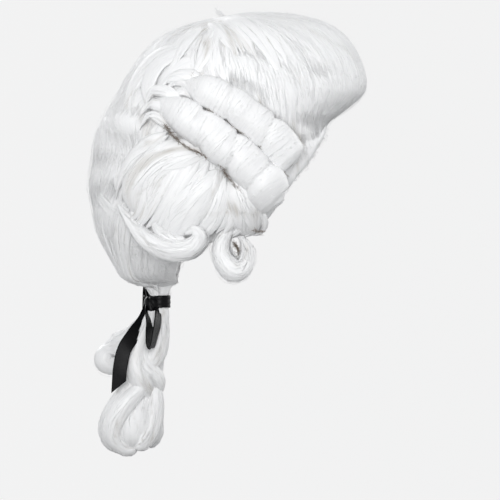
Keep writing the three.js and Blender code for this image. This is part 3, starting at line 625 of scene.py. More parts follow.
def add_wisps(form, rng, rings, outward, count, length, radius, lift, wander, steps=6,
              weight=None, wrap=True, reach=(0, 1), shade=1.0, loose=0.0):
    """Lays tapered three-sided wisps of hair along a grid. Their middles are spread by the
    grid's area, they run along it with a slow wander across, and their ends sink into it.
    length, radius, lift and wander are (least, most) in mm. loose is the share of them that
    stands off the surface."""
    along_step = np.linalg.norm(np.diff(rings, axis=0), axis=-1)
    following = np.roll(rings, -1, 1) if wrap else np.concatenate([rings[:, 1:], rings[:, -1:]], 1)
    across_step = np.linalg.norm(following - rings, axis=-1)
    area = along_step * across_step[:-1]
    if weight is not None:
        area = area * weight[:-1]
    chance = np.cumsum(area.ravel())
    cell = np.searchsorted(chance, rng.uniform(0, chance[-1], count))
    cell = np.minimum(cell, area.size - 1)
    i, j = np.unravel_index(cell, area.shape)
    wide = rings.shape[1]
    middle_t = (i + rng.uniform(0, 1, count)) / (rings.shape[0] - 1)
    middle_s = (j + rng.uniform(0, 1, count)) / wide
    column = np.maximum(along_step.sum(0)[j], 1)
    span = rng.uniform(*length, count) / column
    span = np.minimum(span, reach[1] - reach[0])
    start = np.clip(middle_t - span / 2, reach[0], reach[1] - span)
    x = np.linspace(0, 1, steps + 1)
    t = start[:, None] + span[:, None] * x
    girth = np.maximum(across_step.sum(1), 12)
    sway = rng.uniform(*wander, count) * rng.choice([-1, 1], count)
    phase = rng.uniform(0, 2 * np.pi, count)
    local = girth[np.clip((t * (len(girth) - 1)).astype(int), 0, len(girth) - 1)]
    bend = np.sin(phase[:, None] + x * np.pi * rng.uniform(0.6, 1.8, count)[:, None])
    s = middle_s[:, None] + sway[:, None] * (bend - np.sin(phase)[:, None]) / local
    high = lift[0] + (lift[1] - lift[0]) * rng.uniform(0, 1, count) ** 2
    stray = rng.uniform(0, 1, count) < loose
    high = np.where(stray, high + rng.uniform(1, 3.5, count), high)
    bow = np.sin(np.pi * np.clip(x * 1.04 - 0.02, 0, 1)) ** 0.6
    thick = rng.uniform(*radius, count)
    thick = np.where(stray, thick * 0.6, thick)
    normals = read_grid(outward, t, s, wrap)
    points = read_grid(rings, t, s, wrap)
    points = points + normals * ((high + 0.3)[:, None] * bow - 0.3)[..., None]
    tangent = unit(np.gradient(points, axis=1))
    aside = unit(np.cross(tangent, normals))
    over = np.cross(aside, tangent)
    taper = 0.25 + 0.75 * np.sin(np.pi * (0.04 + 0.92 * x)) ** 0.7
    r = (thick[:, None] * taper)[..., None]
    ring = [points + r * (math.cos(a) * aside + math.sin(a) * over)
            for a in (math.pi / 2, math.pi * 7 / 6, math.pi * 11 / 6)]
    verts = np.stack(ring, 2).reshape(-1, 3)
    base = (np.arange(count) * (steps + 1) * 3)[:, None, None]
    k, m = np.meshgrid(np.arange(steps), np.arange(3), indexing="ij")
    a = k * 3 + m
    b = k * 3 + (m + 1) % 3
    side = np.stack([np.stack([a, b, a + 3], -1), np.stack([b, b + 3, a + 3], -1)], 2).reshape(1, -1, 3)
    last = steps * 3
    ends = np.array([[[0, 2, 1], [last, last + 1, last + 2]]])
    faces = (base + np.concatenate([side, ends], 1)).reshape(-1, 3)
    tint = rng.uniform(0, 1, count)
    u = np.repeat(tint * 37.0, (steps + 1) * 3)
    v = np.tile(np.repeat(x, 3), count) * np.repeat(span * column * CM, (steps + 1) * 3)
    maps = np.stack([u, v], -1)[faces]
    form.add(verts, faces, maps, np.full(len(verts), shade) * np.repeat(0.55 + 0.45 * tint, (steps + 1) * 3))


# The head, the cap and the crown

CENTRE = np.array([0.0, 0.0, -50.0])  # inside the head, and every form is seen whole from it


def level_table(rows):
    """Dense levels on the smooth curve through the rows, for reading by height."""
    return spline(rows, np.linspace(0, 1, 1500))


def crown_levels():
    down, front, back, half, square, gather = level_table(CREST).T
    z = HAIR_RISE - down * HAIR_SPAN
    gather = np.clip(gather, 0, 1)
    front = front * POMPADOUR_REACH * (1 - gather) + (TIE_RADIUS - TIE_BACK) * gather
    back = back * BACK_REACH * (1 - gather) + (TIE_BACK + TIE_RADIUS) * gather
    half = half * HAIR_HALF_WIDTH * (1 - gather) + TIE_RADIUS * gather
    return z, front, back, half, square


def head_levels(grown):
    down, front, back, half, neck = level_table(HEAD_FORM).T
    neck = np.clip(neck, 0, 1)
    z = -down * HEAD_DOME + grown * np.maximum(0, 1 - down)
    front = front * HALF_HEAD * (1 - neck) + NECK_FRONT * neck + grown
    back = back * HALF_HEAD * (1 - neck) + NECK_BACK * neck + grown
    half = half * HALF_BREADTH * (1 - neck) + NECK_HALF * neck + grown
    return z, front, back, half, np.full(len(z), 2.0)


def outside(levels, points):
    """Above nought outside a form of levels: the superellipse's sum of powers less one."""
    z, front, back, half, square = levels
    at = -points[..., 2]
    f, b, h, q = (np.interp(at, -z, column) for column in (front, back, half, square))
    middle, reach = (b - f) / 2, np.maximum((b + f) / 2, 0.1)
    sum_ = (np.abs(points[..., 0]) / np.maximum(h, 0.1)) ** q + (np.abs(points[..., 1] - middle) / reach) ** q
    return np.where(at < -z[0], 1.0, sum_ - 1)


def cast(levels, directions, far=420.0):
    """How far a form's surface lies from the centre in each direction: the outermost
    crossing, closed in on by halving."""
    steps = np.linspace(far, 20, 70)
    inside = np.full(directions.shape[:-1], 20.0)
    found = np.zeros(directions.shape[:-1], bool)
    for r in steps:
        hit = (outside(levels, CENTRE + directions * r) < 0) & ~found
        inside = np.where(hit, r, inside)
        found |= hit
    low, high = inside, inside + (far - 20) / 69
    for _ in range(16):
        middle = (low + high) / 2
        out = outside(levels, CENTRE + directions * middle[..., None]) > 0
        high = np.where(out, middle, high)
        low = np.where(out, low, middle)
    return (low + high) / 2


def side_out(levels, y, z):
    """How far out a form lies at places seen from the side."""
    zs, front, back, half, square = levels
    f, b, h, q = (np.interp(-z, -zs, column) for column in (front, back, half, square))
    middle, reach = (b - f) / 2, (b + f) / 2
    along = np.minimum(0.98, np.abs((y - middle) / reach))
    return h * (1 - along**q) ** (1 / q)


def below_edge(edge, y, z):
    """Above nought ahead of and below an edge that is seen from the side."""
    points = np.array(edge) * [-HALF_HEAD, -HEAD_DOME]
    level = np.interp(y, points[:, 0], points[:, 1], left=points[0, 1], right=-400.0)
    return level - z


def distance_to(path, y, z):
    """The distance from places to a path of straight steps, and the share along it."""
    best = np.full(y.shape, 1e9)
    share = np.zeros(y.shape)
    for k, (a, b) in enumerate(zip(path[:-1], path[1:])):
        step = b - a
        t = np.clip(((y - a[0]) * step[0] + (z - a[1]) * step[1]) / (step @ step), 0, 1)
        d = np.hypot(y - a[0] - t * step[0], z - a[1] - t * step[1])
        share = np.where(d < best, (k + t) / (len(path) - 1), share)
        best = np.minimum(best, d)
    return best, share


CROWN = crown_levels()
HEAD = head_levels(CAP_WALL + GAP)
CROWN_ACROSS = 270
CROWN_ALONG = 116
FOCUS = 0.6  # half the parting line's length, in radians about the crown's axis
PARTING_BACK = 17.0
CROWN_AXIS = unit(np.array([0.0, PARTING_BACK, 100.0]))
CROWN_AHEAD = unit(np.array([0.0, -100.0, PARTING_BACK]))


def crown_direction(label, run):
    """The direction of a line of hair from the crown's centre. Lines leave a parting across
    the crown as hyperbolas about its two ends, by p = sqrt(focus^2 + run^2) cos(label) and
    q = run sin(label), and those of the back draw together towards the tie."""
    back = smooth(0.5 - 0.9 * np.sin(label)) * smooth((run - 0.4) / 0.8)
    label = label + back * 0.07 * np.sin(run * 6.5 + 2.0 * np.cos(label) + 1.1 * np.sin(3 * label))
    p = np.sqrt(FOCUS**2 + run**2) * np.cos(label)
    q = run * np.sin(label)
    theta = np.hypot(p, q)
    turn = np.arctan2(p, -q)
    drawn = np.interp(theta, [0, 1.55, 1.9, 2.2, 2.45, 2.6], [0, 0, 0.2, 0.54, 0.83, 0.915])
    turn = turn * (1 - drawn * smooth(1.9 - np.abs(turn)))
    sin = np.sin(theta)[..., None]
    return (
        np.cos(theta)[..., None] * CROWN_AXIS
        + sin * np.cos(turn)[..., None] * -CROWN_AHEAD
        + sin * np.sin(turn)[..., None] * np.array([1.0, 0, 0])
    )


def crown_lines():
    """The crown's outer surface on lines of hair, from the parting to where each line
    reaches the hairline or the tie."""
    label = np.arange(CROWN_ACROSS) / CROWN_ACROSS * 2 * np.pi
    run = np.linspace(0, 2.62, 240)[:, None]
    directions = crown_direction(label[None], run)
    points = CENTRE + directions * cast(CROWN, directions)[..., None]
    over = np.maximum(below_edge(HAIRLINE, points[..., 1], points[..., 2]), TIE_LEVEL + 0.5 - points[..., 2])
    last = np.argmax(over > 0, axis=0)
    last = np.where((over > 0).any(0), last, len(run) - 1)
    column = np.arange(CROWN_ACROSS)
    before, after = over[last - 1, column], over[last, column]
    part = np.clip(before / np.minimum(before - after, -1e-6), 0, 1)
    end = run[last - 1, 0] + part * (run[last, 0] - run[last - 1, 0])
    share = np.linspace(0, 1, CROWN_ALONG)[:, None]
    run = end[None] * share
    directions = crown_direction(label[None], run)
    return CENTRE + directions * cast(CROWN, directions)[..., None], directions, label


def back_waves(level):
    """How far the back hair's waves are raised at levels down, on a smooth curve."""
    down, rise = np.array(BACK_WAVES).T
    even = np.linspace(down[0], down[-1], 60)
    share = np.interp(even, down, np.linspace(0, 1, len(down)))
    return np.interp(level, even, spline(rise[:, None], share)[:, 0])


def crown_relief(points, label):
    """How far the crown's surface is raised, and its painted shade, darker in the grooves and the dents: locks along
    the hair, less the dents that are drawn on the side view."""
    tall, wide, _ = points.shape
    share = np.linspace(0, 1, tall)[:, None] * np.ones((1, wide))
    across = (label / (2 * np.pi))[None] * np.ones((tall, 1))
    swirl = 0.012 * noise(5, across * 9, share * 3, 9)
    height = locks(11, across + swirl, share * 2.2, 15)
    fade = smooth(share / 0.12) * smooth((1 - share) / 0.04)
    raised = (height - 0.45) * 2.5 * fade
    broad = noise(21, across * 8, share * 2.3, 8)
    raised = raised + broad * 1.6 * fade
    # Painted shade: low in the grooves between the locks.
    shade = height
    y, z = points[..., 1], points[..., 2]
    level = -z / HEAD_DOME + 0.1 * noise(31, y / 40 + 20, points[..., 0] / 35 + 20)
    level = level + 0.15 * (y / HALF_HEAD - 1.3)
    raised = raised + back_waves(level) * smooth((y / HALF_HEAD - 1.0) / 0.35)
    side = smooth((np.abs(points[..., 0]) - 12) / 30)
    for width, depth, places in CROWN_DENTS:
        path = spline(np.array(places) * [-HALF_HEAD, -HEAD_DOME], np.linspace(0, 1, 24))
        d, along = distance_to(path, y, z)
        ends = smooth(along / 0.15) * smooth((1 - along) / 0.15)
        cut = np.exp(-((d / width) ** 2)) * ends * side
        raised = raised - depth * cut
        # Painted shade, deepest in the middle of each dent.
        shade = shade - 0.07 * depth * cut * np.exp(-((d / (0.6 * width)) ** 2))
    return raised, np.clip(shade, 0, 1)


def covered_by_rolls(points):
    """Near 1 on the sides of the crown that the rolls and the side hair lie on."""
    y, z = points[..., 1], points[..., 2]
    cover = np.zeros(y.shape)
    for rows, reach in ((UPPER_ROLL, 12), (LOWER_ROLL, 16), (REAR_WAVE, 20), (MIDDLE_WAVE, 18), (FRONT_PUFF, 20)):
        path = spline(np.array(rows)[:, :2] * [-HALF_HEAD, -HEAD_DOME], np.linspace(0, 1, 16))
        d, _ = distance_to(path, y, z)
        cover = np.maximum(cover, (d < reach) * 1.0)
    return cover * (np.abs(points[..., 0]) > 40)


def build_crown(hair):
    points, directions, label = crown_lines()
    raised, shade = crown_relief(points, label)
    points = points + directions * raised[..., None]
    points[:, :, 2] = np.minimum(points[:, :, 2], HAIR_RISE + 3)
    edge = points[-1]
    tie = (edge[:, 2] < TIE_LEVEL + 8) & (edge[:, 1] > TIE_BACK)
    inner_x = side_out(HEAD, edge[:, 1], edge[:, 2]) * np.sign(edge[:, 0])
    inner = np.stack([inner_x, edge[:, 1], edge[:, 2]], -1)
    inner[:, 0] = np.where(np.abs(inner[:, 0]) > np.abs(edge[:, 0]) - 1, edge[:, 0] * 0.9, inner[:, 0])
    inner[tie, 0] = edge[tie, 0] * 0.95
    inner[tie, 1] = 2 * TIE_BACK - edge[tie, 1]
    inner_way = unit(inner - CENTRE)
    near = np.arange(-9, 10)
    weights = np.exp(-((near / 4.5) ** 2))
    even_way = unit(sum(w * np.roll(inner_way, k, axis=0) for k, w in zip(near, weights)))
    inner_far = np.linalg.norm(inner - CENTRE, axis=-1)
    part = np.linspace(0, 1, 9)[1:-1, None]
    ridge = locks(77, (label / (2 * np.pi))[None] + 0.01 * part, part * 0.5, 46)
    bulge = np.sin(np.pi * part) ** 0.6 * (3.0 + 2.4 * ridge)
    rim = edge * (1 - part[..., None]) + inner * part[..., None] + unit(edge - points[-4]) * bulge[..., None]
    rows = np.linspace(1, 0.03, 14)[:, None, None]
    evened = smooth((1 - rows) / 0.2)
    level_way = unit(inner_way[None] * (1 - evened) + even_way[None] * evened)
    upright = (level_way @ CROWN_AXIS)[..., None]
    tilt = np.arccos(np.clip(upright, -1, 1))
    aside = unit(level_way - upright * CROWN_AXIS)
    way = np.cos(tilt * rows) * CROWN_AXIS + np.sin(tilt * rows) * aside
    far = cast(HEAD, way)
    blend = smooth((rows[..., 0] - 0.85) / 0.15)
    far = far * (1 - blend) + inner_far[None] * blend
    inside = CENTRE + way * far[..., None]
    rings = np.concatenate([points, rim, inside])
    # Painted shade: the rim darker between its ridges, and the inside of the hair darker still, where it faces the
    # head.
    strands = locks(78, (label / (2 * np.pi))[None], rows[..., 0] * 2, 30)
    shades = np.concatenate([shade, 0.1 + 0.6 * ridge, 0.05 + 0.5 * strands])
    across = np.arange(CROWN_ACROSS + 1) / CROWN_ACROSS * 70
    lengths = np.linalg.norm(np.diff(rings, axis=0), axis=-1).mean(1)
    along = np.concatenate([[0], np.cumsum(lengths)]) * CM
    form = Form()
    ring_body(form, rings, across, along, shades, slit=True)
    make_piece("crown_hair_form", form, hair, ["crown_hair"])
    outward = grid_normals(points)
    if (outward * directions).sum() < 0:
        outward = -outward
    build_gather(points[:, tie], outward[:, tie], hair)
    weight = 1 - 0.93 * covered_by_rolls(points)
    edging = np.concatenate([points[-9:], rim, inside[:3]])
    along_edge = grid_normals(edging)
    if (along_edge[:9] * directions[-9:]).sum() < 0:
        along_edge = -along_edge
    form = Form()
    add_wisps(form, np.random.default_rng(120), edging, along_edge, 980, (14, 34), (0.18, 0.34),
              (0.2, 1.6), (0.3, 4), 4, reach=(0.02, 0.98), loose=0.25)
    make_piece("crown_hair_edging", form, hair, ["crown_hair"])
    batches = [("long", 2100, (70, 190), 8), ("short", 2500, (35, 110), 6)]
    for seed, (name, count, length, steps) in enumerate(batches):
        form = Form()
        add_wisps(form, np.random.default_rng(100 + seed), points, outward, count, length,
                  (0.17, 0.34), (0.0, 0.9), (0.5, 5), steps, weight, reach=(0.015, 0.995), loose=0.03)
        make_piece(f"crown_hair_wisps_{name}", form, hair, ["crown_hair"])


def build_gather(lines, outward, hair):
    """Locks over the crown's last stretch, drawn in under the ribbon."""
    form = Form()
    rng = np.random.default_rng(950)
    order = np.argsort(np.arctan2(lines[-1, :, 0], lines[-1, :, 1] - TIE_BACK))
    for k, column in enumerate(order[::5]):
        start = rng.integers(16, 34)
        path = lines[-start:-2:2, column] + outward[-start:-2:2, column] * 0.4
        turn = math.atan2(path[-1, 0], path[-1, 1] - TIE_BACK)
        ring = TIE_RADIUS - 0.4
        last = [[ring * math.sin(turn), TIE_BACK + ring * math.cos(turn), TIE_LEVEL - down] for down in (0, 6)]
        share = np.linspace(0, 1, 30)
        path = spline(np.vstack([path, last]), share)
        body = 0.3 + 0.7 * smooth(share / 0.4) - 0.35 * smooth((share - 0.6) / 0.4)
        away = unit(path - [0, TIE_BACK, 0] + [0, 0, 1e-6]) * [1, 1, 0]
        lock_body(form, path, 4.6 * body, 2.2 * body, unit(away), 960 + k, 3, 1.2, 0.0, wide=16,
                  wisp_count=16, wisp_length=(15, 40), wisp_radius=(0.18, 0.3), loose=0.03)
    make_piece("crown_gather", form, hair, ["crown_hair"])


def build_cap(net):
    """The cap: a shell on the head from its top down to its edge, with sewn rows of hair
    standing out as low ribs."""
    wide, tall = 112, 46
    skin = head_levels(0.0)
    turn = np.arange(wide) / wide * 2 * np.pi
    theta = np.linspace(0.01, 2.8, 240)[:, None]

    def way(theta):
        sin = np.sin(theta)
        return np.stack([sin * np.sin(turn), sin * -np.cos(turn), np.cos(theta) + 0 * turn], -1)

    directions = way(theta)
    points = CENTRE + directions * cast(skin, directions)[..., None]
    past = below_edge(CAP_EDGE, points[..., 1], points[..., 2]) > 0
    past |= points[..., 2] < -1.76 * HEAD_DOME
    past[-1] = True
    end = theta[np.maximum(np.argmax(past, axis=0) - 1, 0), 0]
    theta = end[None] * np.linspace(0.01, 1, tall)[:, None]
    directions = way(theta)
    inside = cast(skin, directions)
    run = np.linspace(0, 1, tall)[:, None]
    hem = smooth((run - 0.955) / 0.02)
    rib = 0.5 + 0.5 * np.cos(run * 2 * np.pi * 11)
    outer = CENTRE + directions * (inside + 0.9 + 0.5 * np.maximum(rib**6, hem))[..., None]
    inner = CENTRE + directions * (inside + 0.15 * (1 - rib**6) * (1 - hem))[..., None]
    middle = (outer[-1:] + inner[-1:]) / 2 + unit(outer[-1:] - outer[-2:-1]) * 0.5
    rings = np.concatenate([outer, middle, inner[::-1]])
    lengths = np.linalg.norm(np.diff(rings, axis=0), axis=-1).mean(1)
    along = np.concatenate([[0], np.cumsum(lengths)]) * CM
    sewn = rib**6 * np.ones((tall, wide))
    shade = np.concatenate([sewn, np.ones((1, wide)), sewn[::-1]])
    form = Form()
    ring_body(form, rings, np.arange(wide + 1) / wide * 58, along, shade)
    make_piece("wig_cap_net", form, net, ["wig_cap"])


# Rolls, side hair, curls and queue


def place_on(rows, out_unit, share):
    """Places on the side of the hair from a table of shares, with its other columns."""
    values = spline(rows, share)
    y, z = -values[..., 0] * HALF_HEAD, -values[..., 1] * HEAD_DOME
    x = side_out(CROWN, y, z) + values[..., 2] * out_unit
    return np.stack([x, y, z], -1), values[..., 3:]


def frames(places, outward):
    """Directions beside and across a path, kept square to it."""
    tangent = unit(np.gradient(places, axis=0))
    aside = unit(np.cross(tangent, outward))
    across = np.cross(tangent, aside)
    return tangent, aside, across


def build_roll(side_name, rows, radius, creases, seed, hair, name, root):
    """A side roll. Its section is a sheet wound inwards as a spiral, r = radius (1.1 - 0.3
    turns), carried along the roll's path. Creases part it into curls, each stepped down
    towards the next, and its back end sinks into the crown at its root."""
    tall, wound = 80, 44
    share = np.linspace(0, 1, tall)
    places, sizes = place_on([root] + rows, ROLL_LIFT, share)
    padded = np.pad(places, ((3, 3), (0, 0)), "reflect", reflect_type="odd")
    places = np.stack([np.convolve(padded[:, k], np.ones(7) / 7, "valid") for k in range(3)], -1)
    tangent, aside, _ = frames(places, np.array([1.0, 0, 0]))
    up = np.where((aside[:, 2] > 0)[:, None], aside, -aside)
    out = np.array([1.0, 0, 0]) * np.ones((tall, 1))
    turn = np.linspace(-0.2, 1.72, wound)
    angle = turn * 2 * np.pi
    s = share[:, None] + 0 * turn
    slant = 0.04 * np.cos(angle)[None] + 0.02 * noise(seed + 9, s * 4, turn[None] * 2)
    bulge = np.zeros(s.shape)
    stops = [-0.02] + list(creases) + [1.02]
    for low, high in zip(stops[:-1], stops[1:]):
        x = np.clip((s + slant - low) / (high - low), 0, 1)
        part = (1 - np.clip(1 - x / 0.4, 0, 1) ** 2.4) * (1 - 0.45 * x**1.6) * smooth((1 - x) / 0.06)
        bulge = bulge + np.where((s + slant >= low) & (s + slant < high), part, 0)
    dent = 1 - bulge
    height = locks(seed, s * 1.0 + slant * 0.6, turn[None] * 1.6, 6, wrap=False)
    first = smooth((1.25 - turn) / 0.3)[None]
    r = sizes[:, :1] * radius * (1.1 - 0.3 * np.maximum(turn, 0.0)[None])
    r = r - radius * 0.2 * dent * first + (height - 0.5) * 1.5 * first
    thick = radius * 0.12 * np.sin(np.pi * np.clip((turn - turn[0]) / (turn[-1] - turn[0]), 0, 1)) ** 0.4
    thick = np.maximum(thick, 0.4)[None] * np.ones((tall, 1))
    end_round = 1 - 0.25 * (1 - smooth(share / 0.05) * smooth((1 - share) / 0.05))[:, None] * first
    uneven = 1 + 0.07 * noise(seed + 30, s * 7, turn[None] * 1.5 + 0 * s)
    r = r * uneven * end_round * (0.5 + 0.5 * smooth(share / 0.24))[:, None]

    def ring(rr):
        return (places[:, None] + rr[..., None] * np.cos(angle)[None, :, None] * up[:, None]
                + 0.7 * rr[..., None] * np.sin(angle)[None, :, None] * out[:, None])

    stagger = (0.35 * radius * noise(seed + 4, 0 * s, turn[None] * 2.2 + s))[..., None] * tangent[:, None]
    end_share = (smooth((0.12 - s) / 0.12) - smooth((s - 0.88) / 0.12))[..., None]
    outer = ring(r) + stagger * np.abs(end_share) * 0.5
    inner = ring(r - thick) + stagger * np.abs(end_share) * 0.5
    rings = np.concatenate([outer, inner[:, ::-1]], 1)
    # Painted shade: darker in the grooves, in the creases between the curls, on the inner turns of the spiral away from
    # the roll's ends, and over the sheet's inner face, most away from the ends.
    deep = smooth((turn - 1.0) / 0.5)[None] * np.ones((tall, 1))
    end_in = np.minimum(s, 1 - s) * tall
    shade_out = np.clip(0.3 + 0.7 * height - 0.28 * dent**4 - 0.7 * deep * smooth(end_in / 8), 0, 1)
    shade_in = np.clip(0.35 - 0.3 * smooth(end_in / 10), 0, 1)
    shade = np.concatenate([shade_out, shade_in[:, ::-1]], 1)
    size = float(np.linalg.norm(np.diff(places, axis=0), axis=-1).sum())
    # Hair runs round the roll, so the strand map is turned: round is along.
    form = Form()
    girth = radius * 2 * np.pi * CM
    along_round = np.concatenate([turn, turn[::-1], turn[:1]]) * girth
    ring_body(form, rings, along_round, share * size * CM, shade)
    for part in form.parts:
        part[2][..., :] = part[2][..., ::-1].copy()
    first_turn = outer[:, : int(wound * 0.62)]
    grid = first_turn.swapaxes(0, 1)
    outward = grid_normals(grid, wrap=False)
    centre = places[None]
    if ((grid - centre) * outward).sum() < 0:
        outward = -outward
    add_wisps(form, np.random.default_rng(seed + 50), grid, outward, 280, (25, 75), (0.17, 0.32),
              (0.0, 0.8), (0.3, 3), 6, wrap=False, reach=(0.03, 0.98), loose=0.1)
    if side_name == "right":
        form = mirrored(form)
    make_piece(f"{name}_{side_name}_hair", form, hair, [f"{name}_{side_name}"])


def lock_body(form, places, half_in, half_through, outward, seed, cells, relief, twist=0.0,
              wide=48, wisp_count=0, wisp_length=(25, 70), wisp_radius=(0.22, 0.4), loose=0.05,
              lift=(0.0, 0.8)):
    """A lock along a path: an oval section with ridges of hair that run along it and may
    twist round it, and ends drawn to a rounded point."""
    tall = len(places)
    _, aside, across = frames(places, outward)
    share = np.linspace(0, 1, tall)[:, None]
    turn = np.arange(wide) / wide
    angle = (turn * 2 * np.pi)[None]
    length = float(np.linalg.norm(np.diff(places, axis=0), axis=-1).sum())
    height = locks(seed, turn[None] + twist * share, share * length / 60, cells)
    end = np.sqrt(np.clip(1 - np.abs(2 * share - 1) ** 7, 0.0016, 1))
    r_in = (half_in[:, None] + (height - 0.6) * relief) * end
    r_through = (half_through[:, None] + (height - 0.6) * relief) * end
    rings = (places[:, None] + (r_in * np.cos(angle))[..., None] * aside[:, None]
             + (r_through * np.sin(angle))[..., None] * across[:, None])
    girth = float(np.mean(half_in + half_through)) * math.pi * CM
    around = np.arange(wide + 1) / wide * girth
    # The shade passed on is painted shade, low in the grooves between the ridges.
    ring_body(form, rings, around, share[:, 0] * length * CM, np.clip(height, 0, 1))
    if wisp_count:
        outward_dirs = grid_normals(rings)
        if ((rings - places[:, None]) * outward_dirs).sum() < 0:
            outward_dirs = -outward_dirs
        rng = np.random.default_rng(seed + 70)
        add_wisps(form, rng, rings, outward_dirs, wisp_count, wisp_length, wisp_radius, lift,
                  (0.3, 4), 6, reach=(0.02, 0.98), loose=loose)
    return rings


def build_side_lock(name, rows, seed, hair, wisp_count, relief=3.4, cells=7, twist=0.0, swell=1.0):
    share = np.linspace(0, 1, 40)
    places, sizes = place_on(rows, SIDE_LOCK_HALF_DEPTH, share)
    form = Form()
    lock_body(form, places, sizes[:, 0] * SIDE_LOCK_HALF_WIDTH * swell, sizes[:, 1] * SIDE_LOCK_HALF_DEPTH * swell,
              np.array([1.0, 0, 0]), seed, cells, relief, twist, wide=32, wisp_count=wisp_count)
    for side in ("left", "right"):
        made = form if side == "left" else mirrored(form)
        make_piece(f"{name}_{side}_hair", made, hair, [f"{name}_{side}"])


def crown_normals(points):
    """Directions out of the crown's form, from the slope of its sum of powers."""
    step = 0.5
    slope = [outside(CROWN, points + step * axis) - outside(CROWN, points - step * axis) for axis in np.eye(3)]
    return unit(np.stack(slope, -1))


def build_overlay(name, guides, seed, hair, out, thick, nodes, wisp_count, layers=((0, 1, 0),)):
    """Locks that lie over the hair on each side: each follows its guide on the crown's
    form, out mm off it, and tapers to both ends. layers holds, for each time that the
    guides are used, a shift in mm, a share of the width and an added lift."""
    form = Form()
    rng = np.random.default_rng(seed)
    share = np.linspace(0, 1, 30)
    body = 0.1 + 0.9 * np.minimum(smooth(share / 0.3), smooth((1.0 - share) / 0.55))
    for shift, narrow, lift in layers:
        for k, (half, guide) in enumerate(guides):
            seen = spline(np.array(guide) * [-HALF_HEAD, -HEAD_DOME], share)
            side = unit(np.gradient(seen, axis=0))[:, ::-1] * [1, -1]
            slide = shift * (0.4 + 0.6 * share) + rng.uniform(-1.5, 1.5) + 1.6 * np.sin(share * 5 + rng.uniform(0, 6))
            seen = seen + side * slide[:, None]
            x = side_out(CROWN, seen[:, 0], seen[:, 1])
            places = np.column_stack([x, seen])
            normals = crown_normals(places)
            for _ in range(4):
                normals[1:-1] = unit(normals[:-2] + 2 * normals[1:-1] + normals[2:])
            rise = out + lift + rng.uniform(-0.8, 0.8) + 1.2 * np.sin(np.pi * share)
            places = places + normals * (rise - 3 * (np.abs(2 * share - 1) ** 4))[:, None]
            lock_body(form, places, half * narrow * body, thick * narrow * (0.3 + 0.7 * body), normals, seed + 3 * k, 3,
                      1.6, rng.uniform(-0.15, 0.15), wide=14, wisp_count=wisp_count, wisp_length=(25, 80),
                      wisp_radius=(0.18, 0.32), loose=0.06)
    for side in ("left", "right"):
        made = form if side == "left" else mirrored(form)
        make_piece(f"{name}_{side}", made, hair, [f"{node}_{side}" if node != "crown_hair" else node
                                                                 for node in nodes])


def build_curls(name, loops, seed, hair, node):
    """Curls on each side: locks along loops of shares, placed on the crown's form."""
    share = np.linspace(0, 1, 64)
    form = Form()
    for k, rows in enumerate(loops):
        values = spline(rows, share)
        y, z = -values[:, 0] * HALF_HEAD, -values[:, 1] * HEAD_DOME
        x = side_out(CROWN, y[:1], z[:1]) + values[:, 2]
        lock_body(form, np.column_stack([x, y, z]), values[:, 3], values[:, 4], np.array([1.0, 0, 0]),
                  seed + 5 * k, 6, 2.6, 0.35, wide=32, wisp_count=220 if k == 0 else 80,
                  wisp_length=(20, 60), wisp_radius=(0.2, 0.34), loose=0.2)
    for side in ("left", "right"):
        made = form if side == "left" else mirrored(form)
        make_piece(f"{name}_{side}_hair", made, hair, [f"{node}_{side}"])


def build_tuft(hair):
    """A tuft of hair that stands up from the top of the crown."""
    form = Form()
    rng = np.random.default_rng(900)
    count = 46
    root = np.column_stack([rng.normal(0, 1.6, count), TUFT_BACK - 3 + rng.normal(0, 1.6, count),
                            np.full(count, HAIR_RISE - 3.0)])
    way = unit(np.column_stack([rng.normal(0, 0.2, count), rng.normal(0.85, 0.12, count), np.ones(count)]))
    length = rng.uniform(6, TUFT_RISE + 6, count)[:, None, None]
    bend = np.column_stack([rng.normal(0, 0.8, count), rng.normal(0.6, 0.8, count), rng.uniform(-1.5, 0.5, count)])
    x = np.linspace(0, 1, 7)[None, :, None]
    thin_tubes(form, root[:, None] + way[:, None] * length * x + bend[:, None] * x**2, rng.uniform(0.25, 0.5, count))
    make_piece("crown_tuft", form, hair, ["crown_hair"])


def build_creases(dark):
    """Short dark fibres in the creases between the rolls and the side hair: brown weft that shows there, and painted
    shade in the creases.
    """
    form = Form()
    rng = np.random.default_rng(800)
    for count, out, root, places in CREASES:
        seen = spline(np.array(places) * [-HALF_HEAD, -HEAD_DOME], rng.uniform(0, 1, count))
        seen = seen + rng.normal(0, 0.8, (count, 2))
        held = seen if root is None else seen * 0 + np.array(root) * [-HALF_HEAD, -HEAD_DOME]
        root = np.column_stack([side_out(CROWN, held[:, 0], held[:, 1]) + out + rng.uniform(-4, 1, count), seen])
        run = np.array(places[-1]) - np.array(places[0])
        run = unit(np.array([0, -run[0], -run[1]]))
        way = run * rng.choice([-1, 1], count)[:, None] + rng.normal(0, 0.45, (count, 3)) * [0.3, 1, 1]
        way = unit(way) * rng.uniform(3, 8, count)[:, None]
        bend = rng.normal(0, 0.8, (count, 3))
        x = np.linspace(0, 1, 4)[None, :, None]
        points = root[:, None] + way[:, None] * (x - 0.5) + bend[:, None] * (x - 0.5) ** 2 * 3
        thin_tubes(form, points, rng.uniform(0.1, 0.22, count))
    for side in ("left", "right"):
        made = form if side == "left" else mirrored(form)
        make_piece(f"crease_fibres_{side}", made, dark, [f"lower_roll_{side}", f"upper_roll_{side}"])


